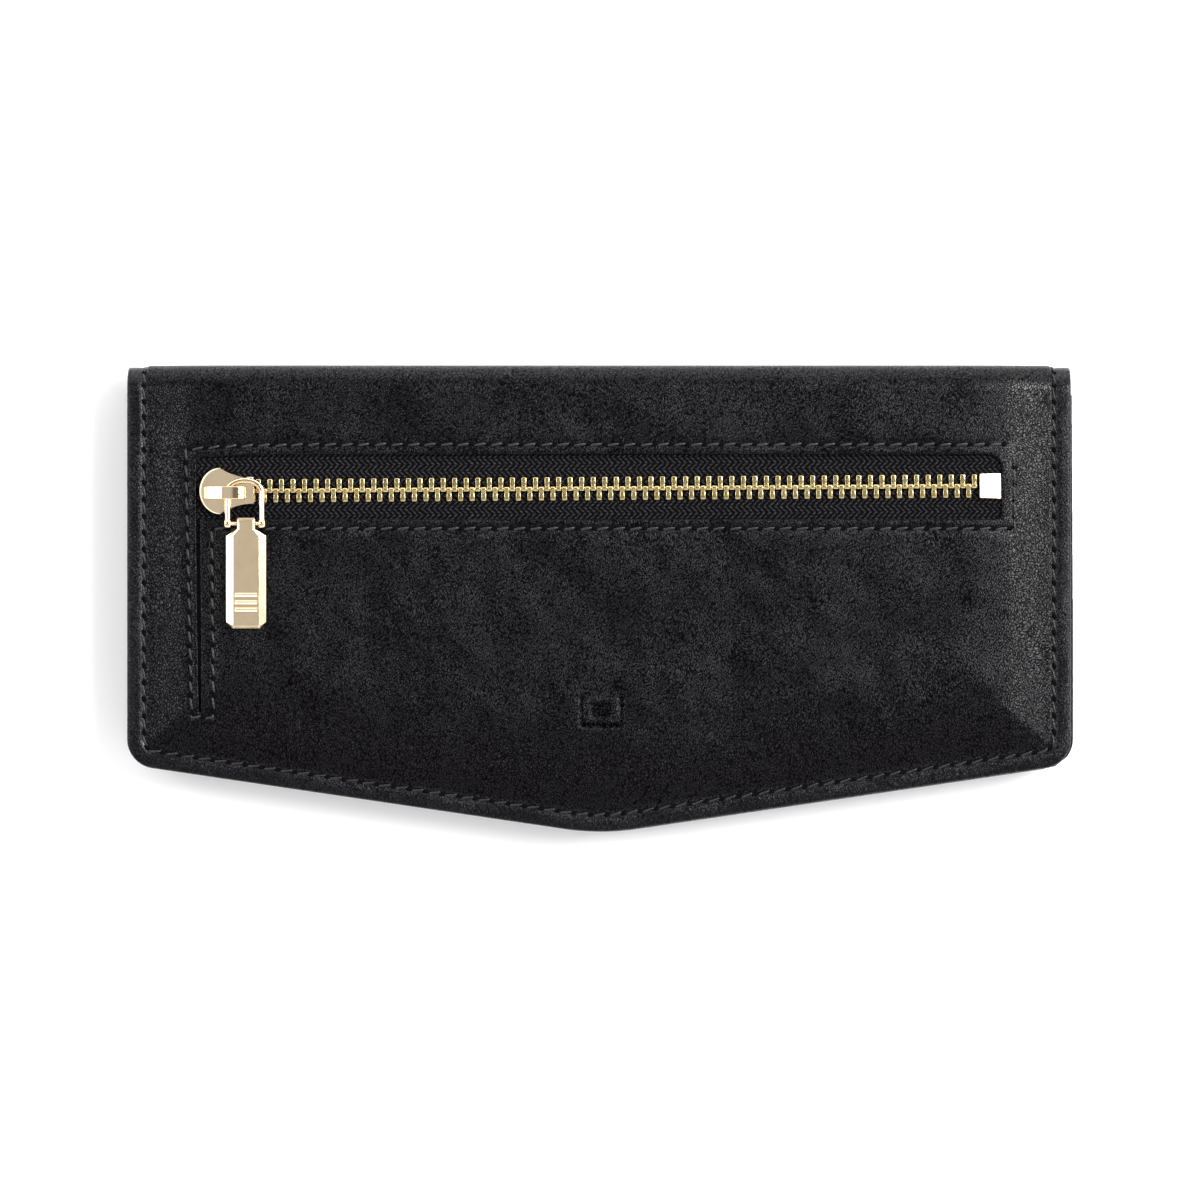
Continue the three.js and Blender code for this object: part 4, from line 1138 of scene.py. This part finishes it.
def make_slider():
    low, high = SLIDER_LOW, SLIDER_HIGH
    tape_low, tape_high = (corner[2] for corner in box("zip_tape_upper"))
    plates = []
    for name, z0, z1 in (("top", tape_high + 0.15, high[2]), ("base", low[2], tape_low - 0.25)):
        layers = [(inset, z0 + rise) for inset, rise in PLATE_EDGE]
        layers += [(inset, z1 - rise) for inset, rise in PLATE_EDGE[::-1]]
        plate = lofted(name, [slider_outline(*layer) for layer in layers], PULL_GOLD, crease=20)
        channel_low = (low[0] - 1, CHAIN_Y - CHANNEL_HALF, low[2] + PLATE)
        channel_high = (high[0] + 1, CHAIN_Y + CHANNEL_HALF, high[2] - PLATE)
        channel = block("channel", channel_low, channel_high, PULL_GOLD)
        plates.append(bevelled(cut(plate, channel), 0.08, 2, 20))
    wedge = [(-3.9, 0), (-2.6, -0.75), (-0.1, 0), (-2.6, 0.75)]
    post = [(SLIDER_X + x, CHAIN_Y + y) for x, y in wedge]
    plates.append(prism("post", post, low[2] + 0.6, high[2] - 0.6, PULL_GOLD))
    knob_x = high[0] - 0.9
    knob_y = CHAIN_Y + NOSE_HALF - 0.35
    knob_low = (knob_x - 0.8, knob_y - 0.45, high[2] - 0.3)
    knob_high = (knob_x + 0.8, knob_y + 0.45, high[2] + 0.45)
    plates.append(bevelled(block("knob", knob_low, knob_high, PULL_GOLD), 0.3))
    made = join("slider", plates)
    finish_piece(tilted(made), "slider", "pull_metal", "slider_body")


def make_bridge():
    """A strap bent over the top plate, with a crowned back."""
    low, high = BRIDGE_LOW, BRIDGE_HIGH + np.array([0.7, 0, 0])
    half = (high[0] - low[0]) / 2
    ridge = -0.1
    turns = np.cos(np.linspace(0, math.pi, 41))
    flat = np.sort(np.append(np.sign(turns) * np.abs(turns) ** 0.5, [ridge - 0.01, ridge + 0.01]))[::-1]
    crown = np.where(flat < ridge, 0.28 * half * (ridge - flat), 0.3 * (flat - ridge) ** 2)
    arch = np.clip(1 - flat**4, 0, 1) ** 0.21
    height = high[2] - low[2] - crown
    outer = [(half * u, h * a) for u, h, a in zip(flat, height, arch)]
    inner = [((half - BRIDGE_POST) * u, (h - STRAP) * a) for u, h, a in zip(flat, height, arch)]
    profile = [((high[0] + low[0]) / 2 + x, low[2] + z) for x, z in outer + inner[::-1]]
    rings = [[(x, y, z) for x, z in profile] for y in (high[1], low[1] - 0.35)]
    made = bevelled(lofted("bridge", rings, PULL_GOLD, crease=40), 0.22, angle=50)
    finish_piece(made, "slider", "pull_metal", "slider_bridge")


def make_link():
    """A bent wire whose two flattened ends are eyes for the pin."""
    link_y = LINK_HIGH[1] - WIRE_RADIUS - LINK_ARCH
    half = (LINK_HIGH[0] - LINK_LOW[0]) / 2 - WIRE_RADIUS
    centre = (LINK_HIGH[0] + LINK_LOW[0]) / 2
    foot = PIN_Y + 0.3
    legs = [foot + (link_y - foot) * k / 8 for k in range(8)]
    line = [(centre - half, y, WIRE_Z) for y in legs]
    for k in range(33):
        angle = math.pi * (1 - k / 32)
        line.append((centre + half * math.cos(angle), link_y + LINK_ARCH * math.sin(angle), WIRE_Z))
    line += [(centre + half, y, WIRE_Z) for y in legs[::-1]]
    pieces = [wire("link", line, WIRE_RADIUS, PULL_GOLD)]
    eye = mirrored([(0.46, -0.55), (0.85, -0.6), (0.97, -0.45)])
    for x in (centre - half, centre + half):
        pieces.append(lathe("eye", eye + eye[:1], (x, PIN_Y, WIRE_Z), PULL_GOLD, along_x=True, steps=32))
    finish_piece(join("link", pieces), "link", "pull_metal", "pull_link")
    half_pin = (PIN_HIGH[0] - PIN_LOW[0]) / 2
    profile = mirrored([(0, -half_pin), (0.3, -half_pin), (0.4, 0.12 - half_pin)])
    pin = lathe("pull_pin", profile, (LINK_X, PIN_Y, WIRE_Z), PULL_GOLD, along_x=True, steps=24)
    finish_piece(pin, "link", "pull_metal", "link_pin")


def tab_outline(inset, neck_inset, z):
    """The tab's outline, drawn in by an inset, at one height."""
    wide = (TAB_HIGH[0] - TAB_LOW[0]) / 2 - inset
    neck = TAB_NECK_HALF - neck_inset
    bottom = TAB_LOW[1] + inset * 0.35
    corner = 1.35 - inset * 0.85
    shoulder = PIN_Y - 1.1 - inset * 0.1
    top = PIN_Y + 1.3 - neck_inset * 1.4
    right = [
        (wide - corner, bottom), (wide, bottom + corner), (wide, shoulder - 1.4),
        (neck, shoulder), (neck, top - 0.3), (neck - 0.3, top),
    ]
    left = [(-x, y) for x, y in right[::-1]]
    return [(TAB_X + x, y, z) for x, y in right + left]


def make_tab():
    """A flat tab with bevelled sides, three plain grooves and a bore for the pin."""
    low, high = TAB_LOW[2], TAB_HIGH[2]
    layers = [  # inset of the outline, inset of its neck, height
        (0.25, 0.25, low), (0, 0, low + 0.25),
        (0, 0, high - 0.6), (0.85, 0.12, high - 0.25), (1.45, 0.5, high),
    ]
    made = lofted("tab", [tab_outline(*layer) for layer in layers], PULL_GOLD, crease=20)
    profile = mirrored([(0, -4), (0.5, -4)])
    bore = lathe("bore", profile, (TAB_X, PIN_Y, WIRE_Z), PULL_GOLD, along_x=True, steps=24)
    grooves = []
    for k in range(3):
        y = PIN_Y - 14.6 - 1.5 * k
        half_length, half_width = GROOVE_HALF
        section = [(y - half_width, high + 0.01), (y, high - 0.3), (y + half_width, high + 0.01)]
        ends = (TAB_X - half_length, TAB_X + half_length)
        rings = [[(x, across, z) for across, z in section] for x in ends]
        grooves.append(lofted("groove", rings, PULL_GOLD))
    cut(made, bore, *grooves)
    bevelled(made, 0.07, 2, 20)
    finish_piece(made, "tab", "pull_metal", "pull_tab")


# ---- Inside: card slots, and the solids carried over ----

MOUTH_SEAM = 2.2  # how far a panel's pressed line lies below its mouth


def panel(name, node, centre_seam=True):
    """A flat leather panel with rounded edges, a pressed line under its mouth and a middle seam."""
    low, high = box(node)
    centre = (low[0] + high[0]) / 2
    inset = HALF_WIDTH - (high[0] - low[0]) / 2
    top = high[1]
    deepest = (high[2] - low[2]) * 0.45
    near = [0, 0.04, 0.1, 0.2, 0.5, 1.2]
    ends = [s * (HALF_WIDTH - inset - d) for s in (-1, 1) for d in near]
    seam_lines = [-0.9, -0.5, -0.2, 0, 0.2, 0.5, 0.9]
    x_lines = centre + spread(inset - HALF_WIDTH, HALF_WIDTH - inset, 2.5, ends, seam_lines)
    mouth = [top - d for d in [*near, *(MOUTH_SEAM + d for d in (-0.6, -0.25, 0, 0.25, 0.6))]]
    first = low_rows(x_lines - centre, STRAIGHT_Y - 0.5, near, 8, inset)
    x, run = grid(x_lines, first, spread(STRAIGHT_Y, top, 2.2, mouth))
    distance = np.minimum(edge_distance(x - centre, run) - inset, top - run)
    drop = rounding(distance, min(0.22, deepest))
    pressed = groove(top - run - MOUTH_SEAM, 0.3, 0.09)
    if centre_seam:
        pressed = pressed + groove(x - centre, 0.35, 0.12)
    relief = np.minimum(drop + pressed, deepest)
    outer = np.stack([x, run, high[2] - relief], -1)
    inner = np.stack([x, run, low[2] + drop], -1)
    made = sheet_from_grid(name, outer, inner, np.stack([x, run], -1), [INNER])
    finish_piece(made, "wallet_body", "inner_leather", node)


def make_cards():
    panel("card_back_panel", "card_backing", centre_seam=False)
    for k in range(1, 5):
        panel(f"card_slot_{k}", f"card_tier_{k}")
    panel("card_front", "card_front_panel")


make_shell()
make_zip()
make_slider()
make_bridge()
make_link()
make_tab()
make_cards()

CARRIED_OVER = {
    "back_board": BOARD,
    "gusset": INNER_EDGE,
    "coin_pocket_back": POCKET,
    "coin_pocket_front": POCKET,
    "snap_socket": SNAP_GOLD,
    "snap_magnet": SNAP_GOLD,
    "snap_socket_washer": SNAP_GOLD,
    "snap_stud": SNAP_GOLD,
    "snap_stud_washer": SNAP_GOLD,
}
for node, material in CARRIED_OVER.items():
    mesh = bpy.data.objects[node].data
    mesh.materials.clear()
    mesh.materials.append(material)

# ---- Stage, lights and camera ----


def make_floor():
    s = Shader("studio_floor", specular=0.1)
    s.set("Base Color", (0.93, 0.93, 0.93))
    s.set("Roughness", 0.9)
    size = 3000
    corners = [(-size, -size, -0.02), (size, -size, -0.02), (size, size, -0.02), (-size, size, -0.02)]
    new_mesh("studio_floor", corners, [[0, 1, 2, 3]], materials=[s.material])


def area_light(name, place, size, power):
    """A softbox at a place in metres, aimed at the wallet."""
    data = bpy.data.lights.new(name, "AREA")
    data.shape = "RECTANGLE"
    data.size, data.size_y = size
    data.energy = power
    light = bpy.data.objects.new(name, data)
    light.location = place
    light.rotation_euler = (-light.location).to_track_quat("-Z", "Y").to_euler()
    bpy.context.scene.collection.objects.link(light)


def make_world():
    """A soft studio: dim straight above, a dark ring round that, and bright all round low down.

    It is brighter towards one side.
    """
    world = bpy.data.worlds.new("studio")
    s = Nodes(world)
    direction = s.node("ShaderNodeTexCoord").outputs["Generated"]
    height = s.node("ShaderNodeSeparateXYZ", {0: direction}).outputs[2]
    ramp = s.node("ShaderNodeValToRGB", {0: height})
    elements = ramp.color_ramp.elements
    elements.remove(elements[1])
    elements[0].position = 0
    elements[0].color = (0.85, 0.85, 0.85, 1)
    levels = [(0.3, 0.75), (0.58, 0.5), (0.76, 0.16), (0.88, 0.05), (0.985, 0.05), (0.994, 0.2)]
    for place, level in levels:
        elements.new(place).color = (level, level, level, 1)
    inputs = {0: direction, 1: (0.6, 0.6, 0)}
    leaning = s.node("ShaderNodeVectorMath", inputs, operation="DOT_PRODUCT").outputs["Value"]
    sideways = s.remap(leaning, -1, 1, 1.9, 4.7)
    background = s.tree.nodes["Background"].inputs
    s.feed(background["Color"], (1, 1, 1))
    s.feed(background["Strength"], s.times(ramp.outputs[0], sideways))
    bpy.context.scene.world = world


def make_camera():
    data = bpy.data.cameras.new("camera")
    data.sensor_width = 36
    distance = 1.6
    view_width = 0.2461
    data.lens = data.sensor_width * (distance - TOP_Z * MM) / view_width
    data.clip_end = 20
    camera = bpy.data.objects.new("camera", data)
    camera.location = (-0.0001, -0.0003, distance)
    bpy.context.scene.collection.objects.link(camera)
    bpy.context.scene.camera = camera


make_floor()
make_world()
area_light("key", (0.95, 0.42, 1.25), (0.7, 0.7), 32)
area_light("left_fill", (-0.9, 0.2, 1.1), (0.5, 0.7), 6)
area_light("low_fill", (0, -0.5, 1.3), (0.9, 0.3), 1.3)
make_camera()
bpy.context.scene.view_settings.view_transform = "Standard"
